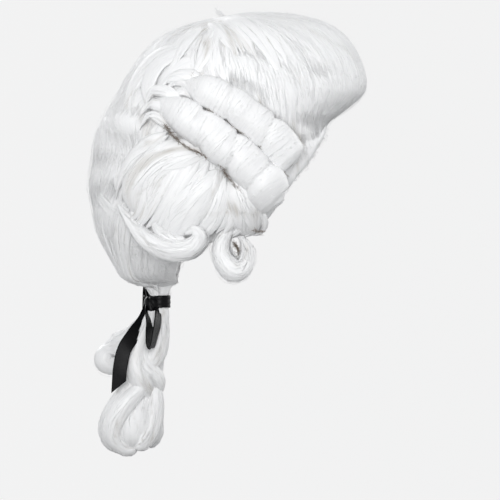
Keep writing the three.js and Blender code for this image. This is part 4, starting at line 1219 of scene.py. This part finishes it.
def thin_tubes(form, points, radius):
    """Three-sided tubes, tapered to both ends, through points[k, step]."""
    count, places, _ = points.shape
    steps = places - 1
    tangent = unit(np.gradient(points, axis=1))
    aside = unit(np.cross(tangent, np.array([0.3, 0.2, 0.9])))
    over = np.cross(tangent, aside)
    taper = 0.3 + 0.7 * np.sin(np.pi * np.linspace(0.05, 0.95, places))
    r = (radius[:, None] * taper)[..., None]
    ring = [points + r * (math.cos(a) * aside + math.sin(a) * over)
            for a in (math.pi / 2, math.pi * 7 / 6, math.pi * 11 / 6)]
    verts = np.stack(ring, 2).reshape(-1, 3)
    base = (np.arange(count) * places * 3)[:, None, None]
    k, m = np.meshgrid(np.arange(steps), np.arange(3), indexing="ij")
    a = k * 3 + m
    b = k * 3 + (m + 1) % 3
    side = np.stack([np.stack([a, b, a + 3], -1), np.stack([b, b + 3, a + 3], -1)], 2).reshape(1, -1, 3)
    last = steps * 3
    ends = np.array([[[0, 2, 1], [last, last + 1, last + 2]]])
    faces = (base + np.concatenate([side, ends], 1)).reshape(-1, 3)
    maps = np.zeros((len(faces), 3, 2)) + np.array([0.0, 0.5])
    form.add(verts, faces, maps, np.ones(len(verts)))


def build_queue(hair):
    """The queue: locks that hang and curl from the hair that the ribbon holds."""
    form = Form()
    for k, rows in enumerate(QUEUE_LOCKS + QUEUE_CURLS):
        share = np.linspace(0, 1, 54)
        values = spline(rows, share)
        places = np.stack([
            -values[:, 2] * QUEUE_HALF_WIDTH,
            TIE_BACK + values[:, 0] * QUEUE_REACH,
            BAND_BOTTOM - values[:, 1] * QUEUE_LENGTH,
        ], -1)
        r = values[:, 3] * QUEUE_LOCK_RADIUS
        lock_body(form, places, r, r, np.array([1.0, 0, 0]), 500 + 10 * k, 6, 3.0, 0.35 * (-1) ** k,
                  wide=30, wisp_count=110, wisp_length=(30, 95), wisp_radius=(0.18, 0.34), loose=0.06)
    share = np.linspace(0, 1, 24)[:, None]
    turn = np.arange(40) / 40
    angle = (turn * 2 * np.pi)[None]
    height = locks(590, turn[None] + 0 * share, share * 0.5, 12)
    z = TIE_LEVEL - 0.3 - share * 24
    r = TIE_RADIUS * (1 + 0.12 * smooth((share - 0.5) * 2)) - (1 - height) * 1.4
    root = np.stack([r * np.cos(angle), TIE_BACK + r * np.sin(angle), z + 0 * angle], -1)
    # Painted shade, low in the grooves between the ridges.
    ring_body(form, root, np.arange(41) / 40 * 6, share[:, 0] * 2.4, height)
    make_piece("queue_hair", form, hair, ["queue"])


# Ribbon


def ribbon_strip(rows, reach_back, reach_drop, widthway, side, fold=0.35):
    """A strip of ribbon through a table of places beside the knot. Its width lies along
    widthway, a little cupped, and its two faces are joined at the edges."""
    share = np.linspace(0, 1, 80)
    v = spline(rows, share)
    places = KNOT_PLACE + np.stack([v[:, 0] * BOW_SPREAD, v[:, 1] * reach_back, -v[:, 2] * reach_drop], -1)
    tangent = unit(np.gradient(places, axis=0))
    aside = widthway(tangent)
    aside = unit(aside - (aside * tangent).sum(-1, keepdims=True) * tangent)
    over = np.cross(tangent, aside)
    half = v[:, 3] * RIBBON_WIDTH / 2
    slant = v[:, 4] * RIBBON_WIDTH / 2
    x = np.linspace(-1, 1, 15)
    cup = (1 - x**2) * 0.5
    pleat = (1 - np.clip(v[:, 3], 0, 1))[:, None] * np.cos(x * 3 * np.pi)[None] * 2.2
    ripple = 0.25 * np.sin(share * 19)[:, None] * x[None]
    rise = cup[None] * fold + pleat + ripple
    middle = (places[:, None] + (half[:, None] * x)[..., None] * aside[:, None]
              + rise[..., None] * over[:, None] + (slant[:, None] * x)[..., None] * tangent[:, None])
    skin = (over * RIBBON_WALL / 2)[:, None]
    rings = np.concatenate([middle + skin, (middle - skin)[:, ::-1]], 1)
    length = float(np.linalg.norm(np.diff(places, axis=0), axis=-1).sum())
    area = float((np.linalg.norm(np.diff(middle, axis=1), axis=-1).sum(1)[:-1]
                  * np.linalg.norm(np.diff(places, axis=0), axis=-1)).sum())
    across = np.concatenate([x, x[::-1], x[:1]]) * RIBBON_WIDTH / 2 * CM
    form = Form()
    ring_body(form, rings, across, share * length * CM, np.ones(rings.shape[:2]))
    return (mirrored(form) if side < 0 else form), length, area


def declare_ribbon(length, area):
    width = RIBBON_WIDTH * MM
    area = min(area * MM * MM, width * length * MM)
    length * MM


def build_ribbons(satin):
    # The knot: a ball with deep soft folds round it
    wide, tall = 64, 40
    turn = np.arange(wide) / wide * 2 * np.pi
    rise = np.linspace(-1, 1, tall)[:, None] * (math.pi / 2 - 0.05)
    fold = np.sin(turn * 3 + rise * 2.2)
    r = KNOT_RADIUS * (0.94 + 0.12 * np.abs(fold) ** 0.6 - 0.05 * np.cos(rise * 5))
    knot = KNOT_PLACE - [0, KNOT_LEAN, KNOT_SAG] + np.stack([
        1.42 * r * np.cos(rise) * np.cos(turn), 1.08 * r * np.cos(rise) * np.sin(turn),
        1.3 * r * np.sin(rise) + 0 * turn], -1)
    form = Form()
    ring_body(form, knot, np.arange(wide + 1) / wide * 5.6, np.linspace(0, 2.6, tall), np.ones((tall, wide)))
    knot_piece = make_piece("ribbon_knot_satin", form, satin, ["ribbon_knot"])

    # The band: ribbon wound round the tie, its edges overlapping as low steps
    wide, tall = 64, 20
    turn = np.arange(wide) / wide * 2 * np.pi
    level = np.linspace(0, 1, tall)[:, None]
    winds = 0.35 * smooth(np.mod(level * 2.4 + 0.25 * turn / np.pi, 1.0) * 1.2)
    edge = np.sqrt(np.clip(1 - (2 * level - 1) ** 8, 0, 1))
    r = BAND_RADIUS - 0.5 + edge * 0.35 + winds
    z = TIE_LEVEL - 0.3 - level * 13.0
    outer = np.stack([r * np.cos(turn), TIE_BACK + r * np.sin(turn), z + 0.25 * np.sin(turn * 2)], -1)
    r_in = np.full_like(r, TIE_RADIUS + 0.3)
    inner = np.stack([r_in * np.cos(turn), TIE_BACK + r_in * np.sin(turn), z + 0.25 * np.sin(turn * 2)], -1)[::-1]
    around = np.concatenate([outer, inner]).swapaxes(0, 1)
    form = Form()
    closed_ring(form, around)
    band = make_piece("ribbon_band_satin", form, satin, ["ribbon_band"])
    girth = 2 * math.pi * (BAND_RADIUS - 0.3)
    declare_ribbon(girth, girth * 13.0)

    sideways = lambda tangent: np.array([0.94, 0.34, 0]) * np.ones_like(tangent)
    backwards = lambda tangent: np.array([0, 1.0, 0]) * np.ones_like(tangent)
    side_plane = lambda tangent: np.cross(tangent, [1.0, 0, 0])
    loops = [
        ("bow_loop_right", HANGING_LOOP, 9.0, 48.5, sideways, -1, "hung"),
        ("bow_loop_left", RISING_LOOP, 9.0, 48.5, backwards, 1, "folded"),
        ("ribbon_tail_right", TAIL, 33.0, 97.0, side_plane, -1, "hung"),
        ("ribbon_tail_left", TAIL, 33.0, 97.0, side_plane, 1, "hung"),
    ]
    for k, (name, rows, back, drop, widthway, side, held) in enumerate(loops):
        form, length, area = ribbon_strip(rows, back, drop, widthway, side)
        piece = make_piece(f"{name}_satin", form, satin, [name])
        declare_ribbon(length, area)


def closed_ring(form, rings):
    """A closed body whose rings also close on each other, as a tyre's do."""
    tall, round_, _ = rings.shape
    i, j = np.meshgrid(np.arange(tall), np.arange(round_), indexing="ij")
    i, j = i.ravel(), j.ravel()
    a, b = i * round_ + j, i * round_ + (j + 1) % round_
    c, d = (i + 1) % tall * round_ + (j + 1) % round_, (i + 1) % tall * round_ + j
    faces = np.concatenate([np.stack([a, b, d], -1), np.stack([b, c, d], -1)])
    u = lambda k: k / tall * 6.8
    v = lambda k: k / round_ * 2.8
    maps = np.concatenate([
        np.stack([np.stack([u(i), v(j)], -1), np.stack([u(i), v(j + 1)], -1), np.stack([u(i + 1), v(j)], -1)], 1),
        np.stack([np.stack([u(i), v(j + 1)], -1), np.stack([u(i + 1), v(j + 1)], -1), np.stack([u(i + 1), v(j)], -1)], 1),
    ])
    form.add(rings.reshape(-1, 3), faces, maps, np.ones(tall * round_))


# Materials


class Value:
    """A socket of numbers that sums and products can be written with."""

    def __init__(self, paint, socket):
        self.paint, self.socket = paint, socket

    def math(self, operation, other=None, first=None):
        values = {0: self if first is None else first}
        if other is not None:
            values[1] = other
        return self.paint.node("ShaderNodeMath", {"operation": operation}, values)[0]

    def __add__(self, other):
        return self.math("ADD", other)

    __radd__ = __add__

    def __mul__(self, other):
        return self.math("MULTIPLY", other)

    __rmul__ = __mul__

    def __sub__(self, other):
        return self.math("SUBTRACT", other)

    def __rsub__(self, other):
        return self.math("SUBTRACT", self, other)

    def __pow__(self, other):
        return self.math("POWER", other)


class Paint:
    """A material's nodes, made with one call each."""

    def __init__(self, name):
        self.material = bpy.data.materials.new(name)
        self.material.use_nodes = True
        self.tree = self.material.node_tree
        self.shader = self.tree.nodes["Principled BSDF"]

    def node(self, kind, settings=None, values=None):
        node = self.tree.nodes.new(kind)
        for key, value in (settings or {}).items():
            if key == "stops":
                ramp = node.color_ramp
                while len(ramp.elements) < len(value):
                    ramp.elements.new(0.5)
                for element, (place, colour) in zip(ramp.elements, value):
                    element.position, element.color = place, (*colour, 1)
            else:
                setattr(node, key, value)
        for key, value in (values or {}).items():
            self.put(node.inputs[key], value)
        return [Value(self, out) for out in node.outputs]

    def put(self, socket, value):
        if isinstance(value, Value):
            self.tree.links.new(value.socket, socket)
        elif isinstance(value, tuple) and len(value) == 3 and socket.type == "RGBA":
            socket.default_value = (*value, 1)
        else:
            socket.default_value = value

    def set(self, **values):
        for key, value in values.items():
            self.put(self.shader.inputs[key.replace("_", " ")], value)

    def mix(self, share, a, b):
        node = self.tree.nodes.new("ShaderNodeMix")
        node.data_type = "RGBA"
        for socket, value in ((node.inputs[0], share), (node.inputs[6], a), (node.inputs[7], b)):
            self.put(socket, value)
        return Value(self, node.outputs[2])

    def attribute(self, name):
        return self.node("ShaderNodeAttribute", {"attribute_name": name})[2]

    def strand_map(self, scale):
        uv = self.node("ShaderNodeUVMap", {"uv_map": "strands"})[0]
        return self.node("ShaderNodeMapping", {}, {"Vector": uv, "Scale": scale})[0]

    def streaks(self, scale, detail=3.0):
        vector = self.strand_map(scale)
        return self.node("ShaderNodeTexNoise", {"noise_dimensions": "2D"},
                         {"Vector": vector, "Scale": 1.0, "Detail": detail})[0]

    def bump(self, height, strength, distance):
        normal = self.node("ShaderNodeBump", {}, {"Height": height, "Strength": strength, "Distance": distance})[0]
        self.set(Normal=normal)


def hair_finish(settings):
    """White fibre: fine streaks along the hair, and painted shade, a warm grey, in the grooves between the locks."""
    paint = Paint("white_fibre")
    fine = paint.streaks((26.0, 0.8, 1))
    broad = paint.streaks((4.5, 0.25, 1))
    shade = paint.attribute("shade")
    streak = fine * 0.6 + broad * 0.4
    light = paint.node("ShaderNodeMapRange", {"interpolation_type": "SMOOTHSTEP"},
                       {"Value": streak, "From Min": 0.3, "From Max": 0.62})[0]
    colour = paint.mix(light, tuple(settings.streak_colour), tuple(settings.hair_colour))
    # Painted shade: where the shade attribute is low, in the grooves, the groove shade colour is mixed in.
    groove_shade = paint.node("ShaderNodeMapRange", {"interpolation_type": "SMOOTHSTEP"},
                        {"Value": shade, "From Min": 0.02, "From Max": 0.34})[0]
    colour = paint.mix(groove_shade, tuple(settings.groove_shade_colour), colour)
    paint.set(Base_Color=colour, Roughness=0.30 + 0.2 * fine, Specular_IOR_Level=0.5,
              Sheen_Weight=0.12, Sheen_Roughness=0.4)
    paint.bump(fine * 0.7 + broad * 0.6, 0.32, 0.0006)
    return paint.material


def net_finish(settings):
    """Tan net: fine threads crossing, darker between them, and pale rows of sewn hair."""
    paint = Paint("tan_net")
    across = paint.node("ShaderNodeTexWave", {"bands_direction": "X"},
                        {"Vector": paint.strand_map((1, 1, 1)), "Scale": 2.6, "Distortion": 0.4})[1]
    along = paint.node("ShaderNodeTexWave", {"bands_direction": "Y"},
                       {"Vector": paint.strand_map((1, 1, 1)), "Scale": 2.6, "Distortion": 0.4})[1]
    thread = across.math("MAXIMUM", along)
    colour = paint.mix(thread, (0.34, 0.27, 0.2), tuple(settings.net_colour))
    colour = paint.mix(paint.attribute("shade"), colour, (0.8, 0.76, 0.7))
    paint.set(Base_Color=colour, Roughness=0.8, Specular_IOR_Level=0.25)
    paint.bump(thread, 0.8, 0.0005)
    return paint.material


def dark_finish(settings):
    """Brown fibre in the creases, partly the wig's brown weft and partly painted shade."""
    paint = Paint("dark_fibre")
    paint.set(Base_Color=tuple(settings.crease_colour), Roughness=0.6)
    return paint.material


def satin_finish(settings):
    """Black satin: long threads across the ribbon that spread its shine, and a fine weft that varies its roughness and
    bump.
    """
    paint = Paint("black_satin")
    threads = paint.streaks((60.0, 2.0, 1))
    weft = paint.streaks((1.5, 40.0, 1), 2.0)
    colour = paint.mix(threads, (0.002, 0.002, 0.0025), tuple(settings.ribbon_colour))
    paint.set(Base_Color=colour, Roughness=0.22 + 0.14 * weft, Specular_IOR_Level=0.09)
    paint.bump(threads * 0.4 + weft * 0.6, 0.35, 0.0003)
    return paint.material


def stage_finish():
    """The backdrop: pale, and lit from within so that it is even all over."""
    paint = Paint("pale_backdrop")
    grain = paint.node("ShaderNodeTexNoise", {}, {"Scale": 3.0})[0]
    colour = paint.mix(grain, (0.19, 0.19, 0.19), (0.21, 0.21, 0.21))
    paint.set(Base_Color=colour, Roughness=0.9, Specular_IOR_Level=0.05,
              Emission_Color=(1.0, 1.0, 1.0), Emission_Strength=0.78)
    return paint.material


def flag_finish():
    """Grey cloth that keeps light from below off the wig."""
    paint = Paint("grey_flag")
    paint.set(Base_Color=(0.2, 0.2, 0.2), Roughness=0.9, Specular_IOR_Level=0.0)
    return paint.material


# Stage, lights and camera

MM_PER_PIXEL = 1.06
PHOTO_SIDE = 500
PHOTO_CENTRE = (0.0, -12.7, -197.2)
CAMERA_AWAY = 3.2


def build_stage(settings):
    """A pale room: a flat floor that curves up into a round wall, open at the top."""
    profile = [(0.0, 0.0), (1.5, 0.0), (3.2, 0.0)]
    profile += [(3.2 + 1.6 * math.sin(a), 1.6 - 1.6 * math.cos(a)) for a in np.linspace(0.1, math.pi / 2, 14)]
    profile += [(4.8, 3.2), (4.8, 5.4)]
    profile = np.array(profile)
    wide = 96
    turn = np.arange(wide) / wide * 2 * np.pi
    inner = np.stack([profile[:, :1] * np.cos(turn), profile[:, :1] * np.sin(turn),
                      profile[:, 1:] + 0 * turn + settings.floor_level], -1)
    verts = inner.reshape(-1, 3)
    i, j = np.meshgrid(np.arange(len(profile) - 1), np.arange(wide), indexing="ij")
    a = (i * wide + j).ravel()
    b = (i * wide + (j + 1) % wide).ravel()
    mesh = bpy.data.meshes.new("backdrop")
    mesh.from_pydata(verts.tolist(), [], np.stack([a, b, b + wide, a + wide], -1).tolist())
    mesh.polygons.foreach_set("use_smooth", np.ones(len(mesh.polygons), bool))
    mesh.materials.append(stage_finish())
    backdrop = bpy.data.objects.new("backdrop", mesh)
    bpy.context.scene.collection.objects.link(backdrop)
    backdrop.visible_diffuse = False
    bpy.context.scene.view_settings.view_transform = "Standard"

    cloth = bpy.data.meshes.new("light_flag")
    around = np.arange(48) / 48 * 2 * np.pi
    disc = np.column_stack([np.cos(around), np.sin(around), 0 * around]) * settings.flag_radius
    cloth.from_pydata((disc + [0, 0, settings.flag_level]).tolist(), [], [list(range(48))])
    cloth.materials.append(flag_finish())
    flag = bpy.data.objects.new("light_flag", cloth)
    bpy.context.scene.collection.objects.link(flag)
    flag.visible_camera = flag.visible_glossy = False

    world = bpy.data.worlds.new("room_light")
    world.use_nodes = True
    world.node_tree.nodes["Background"].inputs[0].default_value = (0.97, 0.985, 1.0, 1)
    world.node_tree.nodes["Background"].inputs[1].default_value = settings.room_light
    bpy.context.scene.world = world
    target = Vector(PHOTO_CENTRE) * MM
    lamps = [
        ("overhead", (-0.75, -0.7, 1.75), 1.1, settings.overhead_power),
        ("camera_side", (-2.3, 0.3, 0.22), 1.3, settings.side_power),
        ("front", (1.3, -2.1, 0.5), 1.3, settings.front_power),
        ("far_side", (2.0, 0.9, 1.0), 1.4, settings.far_power),
    ]
    for name, place, size, power in lamps:
        data = bpy.data.lights.new(name, "AREA")
        data.shape = "DISK"
        data.size = size
        data.energy = power
        lamp = bpy.data.objects.new(name, data)
        lamp.location = place
        lamp.rotation_euler = (target - Vector(place)).to_track_quat("-Z", "Y").to_euler()
        bpy.context.scene.collection.objects.link(lamp)

    data = bpy.data.cameras.new("camera")
    data.sensor_width = 36
    data.lens = 36 * CAMERA_AWAY / (PHOTO_SIDE * MM_PER_PIXEL * MM)
    data.clip_end = 50
    camera = bpy.data.objects.new("camera", data)
    camera.location = target + Vector((-CAMERA_AWAY, 0, 0))
    camera.rotation_euler = (math.pi / 2, 0, -math.pi / 2)
    bpy.context.scene.collection.objects.link(camera)
    bpy.context.scene.camera = camera


# Add-on


class WigSettings(bpy.types.PropertyGroup):
    """Colours of the wig, and the light and the floor of its stage."""

    hair_colour: bpy.props.FloatVectorProperty(
        name="Hair", description="Colour of the white hair", default=(0.95, 0.95, 0.952), subtype="COLOR")
    streak_colour: bpy.props.FloatVectorProperty(
        name="Streaks", description="Colour of the darker streaks", default=(0.88, 0.884, 0.892), subtype="COLOR")
    # Painted shade deep between the locks, mixed in by the hair's shade attribute.
    groove_shade_colour: bpy.props.FloatVectorProperty(
        name="Grooves", description="Colour deep between the locks", default=(0.62, 0.6, 0.57), subtype="COLOR")
    # Colour of the crease fibres: brown weft and painted shade.
    crease_colour: bpy.props.FloatVectorProperty(
        name="Creases", description="Colour of the fibres in the creases", default=(0.23, 0.18, 0.14), subtype="COLOR")
    net_colour: bpy.props.FloatVectorProperty(
        name="Net", description="Colour of the cap's net", default=(0.5, 0.4, 0.3), subtype="COLOR")
    ribbon_colour: bpy.props.FloatVectorProperty(
        name="Ribbon", description="Colour of the satin ribbon", default=(0.005, 0.005, 0.006), subtype="COLOR")
    room_light: bpy.props.FloatProperty(
        name="Room light", description="Strength of the light from all sides", default=0.48, min=0)
    overhead_power: bpy.props.FloatProperty(
        name="Overhead", description="Power of the overhead lamp", default=6, min=0, unit="POWER")
    side_power: bpy.props.FloatProperty(
        name="Camera side", description="Power of the lamp on the camera's side", default=28, min=0, unit="POWER")
    front_power: bpy.props.FloatProperty(
        name="Front", description="Power of the lamp ahead of the wig", default=16, min=0, unit="POWER")
    far_power: bpy.props.FloatProperty(
        name="Far side", description="Power of the lamp on the far side", default=24, min=0, unit="POWER")
    flag_radius: bpy.props.FloatProperty(
        name="Flag radius", description="Radius of the grey cloth under the wig", default=0.9, min=0, unit="LENGTH")
    flag_level: bpy.props.FloatProperty(
        name="Flag level", description="Height of the grey cloth under the wig", default=-0.72, unit="LENGTH")
    floor_level: bpy.props.FloatProperty(
        name="Floor", description="Height of the floor", default=-1.6, unit="LENGTH")


def finish_named(name, make, settings):
    return bpy.data.materials.get(name) or make(settings)


class WIG_OT_stage(bpy.types.Operator):
    """Makes the room, its lamps and the camera"""

    bl_idname = "wig.stage"
    bl_label = "Stage"

    def execute(self, context):
        build_stage(context.scene.wig)
        return {"FINISHED"}


class WIG_OT_cap(bpy.types.Operator):
    """Makes the net cap"""

    bl_idname = "wig.cap"
    bl_label = "Cap"

    def execute(self, context):
        build_cap(finish_named("tan_net", net_finish, context.scene.wig))
        return {"FINISHED"}


class WIG_OT_crown(bpy.types.Operator):
    """Makes the pompadour, the crown and the back hair"""

    bl_idname = "wig.crown"
    bl_label = "Crown hair"

    def execute(self, context):
        build_crown(finish_named("white_fibre", hair_finish, context.scene.wig))
        return {"FINISHED"}


class WIG_OT_rolls(bpy.types.Operator):
    """Makes the two rolls on each side"""

    bl_idname = "wig.rolls"
    bl_label = "Side rolls"

    def execute(self, context):
        hair = finish_named("white_fibre", hair_finish, context.scene.wig)
        for side in ("left", "right"):
            build_roll(side, UPPER_ROLL, 19.6, (0.44, 0.74), 200, hair, "upper_roll", (-0.58, 0.25, 0.0, 0.6))
            build_roll(side, LOWER_ROLL, 22.4, (0.33, 0.55, 0.76), 240, hair, "lower_roll",
                       (-0.86, 0.46, 0.0, 0.62))
        return {"FINISHED"}


class WIG_OT_side_hair(bpy.types.Operator):
    """Makes the waves, puffs and curls round the ears"""

    bl_idname = "wig.side_hair"
    bl_label = "Side hair"

    def execute(self, context):
        hair = finish_named("white_fibre", hair_finish, context.scene.wig)
        build_side_lock("rear_wave", REAR_WAVE, 300, hair, 100, 3.0, 5, 0.1, 0.92)
        build_side_lock("middle_wave", MIDDLE_WAVE, 320, hair, 100, 3.0, 5, 0.1, 0.92)
        build_side_lock("front_puff", FRONT_PUFF, 340, hair, 100, 3.0, 5, -0.1, 0.8)
        build_overlay("side_fan", SIDE_FAN, 600, hair, 4.5, 5.5, ("rear_wave", "middle_wave", "front_puff"), 28,
                      ((0, 1.1, 0), (4.5, 0.7, 1.6)))
        build_overlay("back_sweeps", BACK_SWEEPS, 660, hair, -1.2, 1.3, ("crown_hair",), 34,
                      ((0, 1, 0), (5, 0.7, 0.3), (-5, 0.7, 0.2)))
        build_overlay("crown_locks", CROWN_LOCKS, 700, hair, -1.5, 1.8, ("crown_hair",), 18, ((0, 1, 0), (5, 0.6, 0.3)))
        build_overlay("root_locks", ROOT_LOCKS, 860, hair, 3.0, 3.2, ("crown_hair",), 24)
        build_curls("ear_ringlet", RINGLET_LOOPS, 410, hair, "ear_ringlet")
        build_curls("rear_curl", REAR_BULB, 430, hair, "rear_curl")
        build_tuft(hair)
        build_creases(finish_named("dark_fibre", dark_finish, context.scene.wig))
        return {"FINISHED"}


class WIG_OT_queue(bpy.types.Operator):
    """Makes the queue of curled locks under the tie"""

    bl_idname = "wig.queue"
    bl_label = "Queue"

    def execute(self, context):
        build_queue(finish_named("white_fibre", hair_finish, context.scene.wig))
        return {"FINISHED"}


class WIG_OT_ribbon(bpy.types.Operator):
    """Makes the satin ribbon: band, knot, loops and tails"""

    bl_idname = "wig.ribbon"
    bl_label = "Ribbon"

    def execute(self, context):
        build_ribbons(finish_named("black_satin", satin_finish, context.scene.wig))
        return {"FINISHED"}


OPERATORS = (WIG_OT_stage, WIG_OT_cap, WIG_OT_crown, WIG_OT_rolls, WIG_OT_side_hair, WIG_OT_queue,
             WIG_OT_ribbon)


class WIG_PT_panel(bpy.types.Panel):
    """The wig's pieces, one button each, and its colours"""

    bl_idname = "WIG_PT_panel"
    bl_label = "Powdered wig"
    bl_space_type = "VIEW_3D"
    bl_region_type = "UI"
    bl_category = "Wig"

    def draw(self, context):
        for operator in OPERATORS:
            self.layout.operator(operator.bl_idname)
        for name in WigSettings.__annotations__:
            self.layout.prop(context.scene.wig, name)


CLASSES = (WigSettings, *OPERATORS, WIG_PT_panel)


def register():
    for cls in CLASSES:
        bpy.utils.register_class(cls)
    bpy.types.Scene.wig = bpy.props.PointerProperty(type=WigSettings)


def unregister():
    del bpy.types.Scene.wig
    for cls in reversed(CLASSES):
        bpy.utils.unregister_class(cls)


def main():
    register()
    bpy.ops.wig.stage()
    bpy.ops.wig.cap()
    bpy.ops.wig.crown()
    bpy.ops.wig.rolls()
    bpy.ops.wig.side_hair()
    bpy.ops.wig.queue()
    bpy.ops.wig.ribbon()


if __name__ == "__main__":
    main()
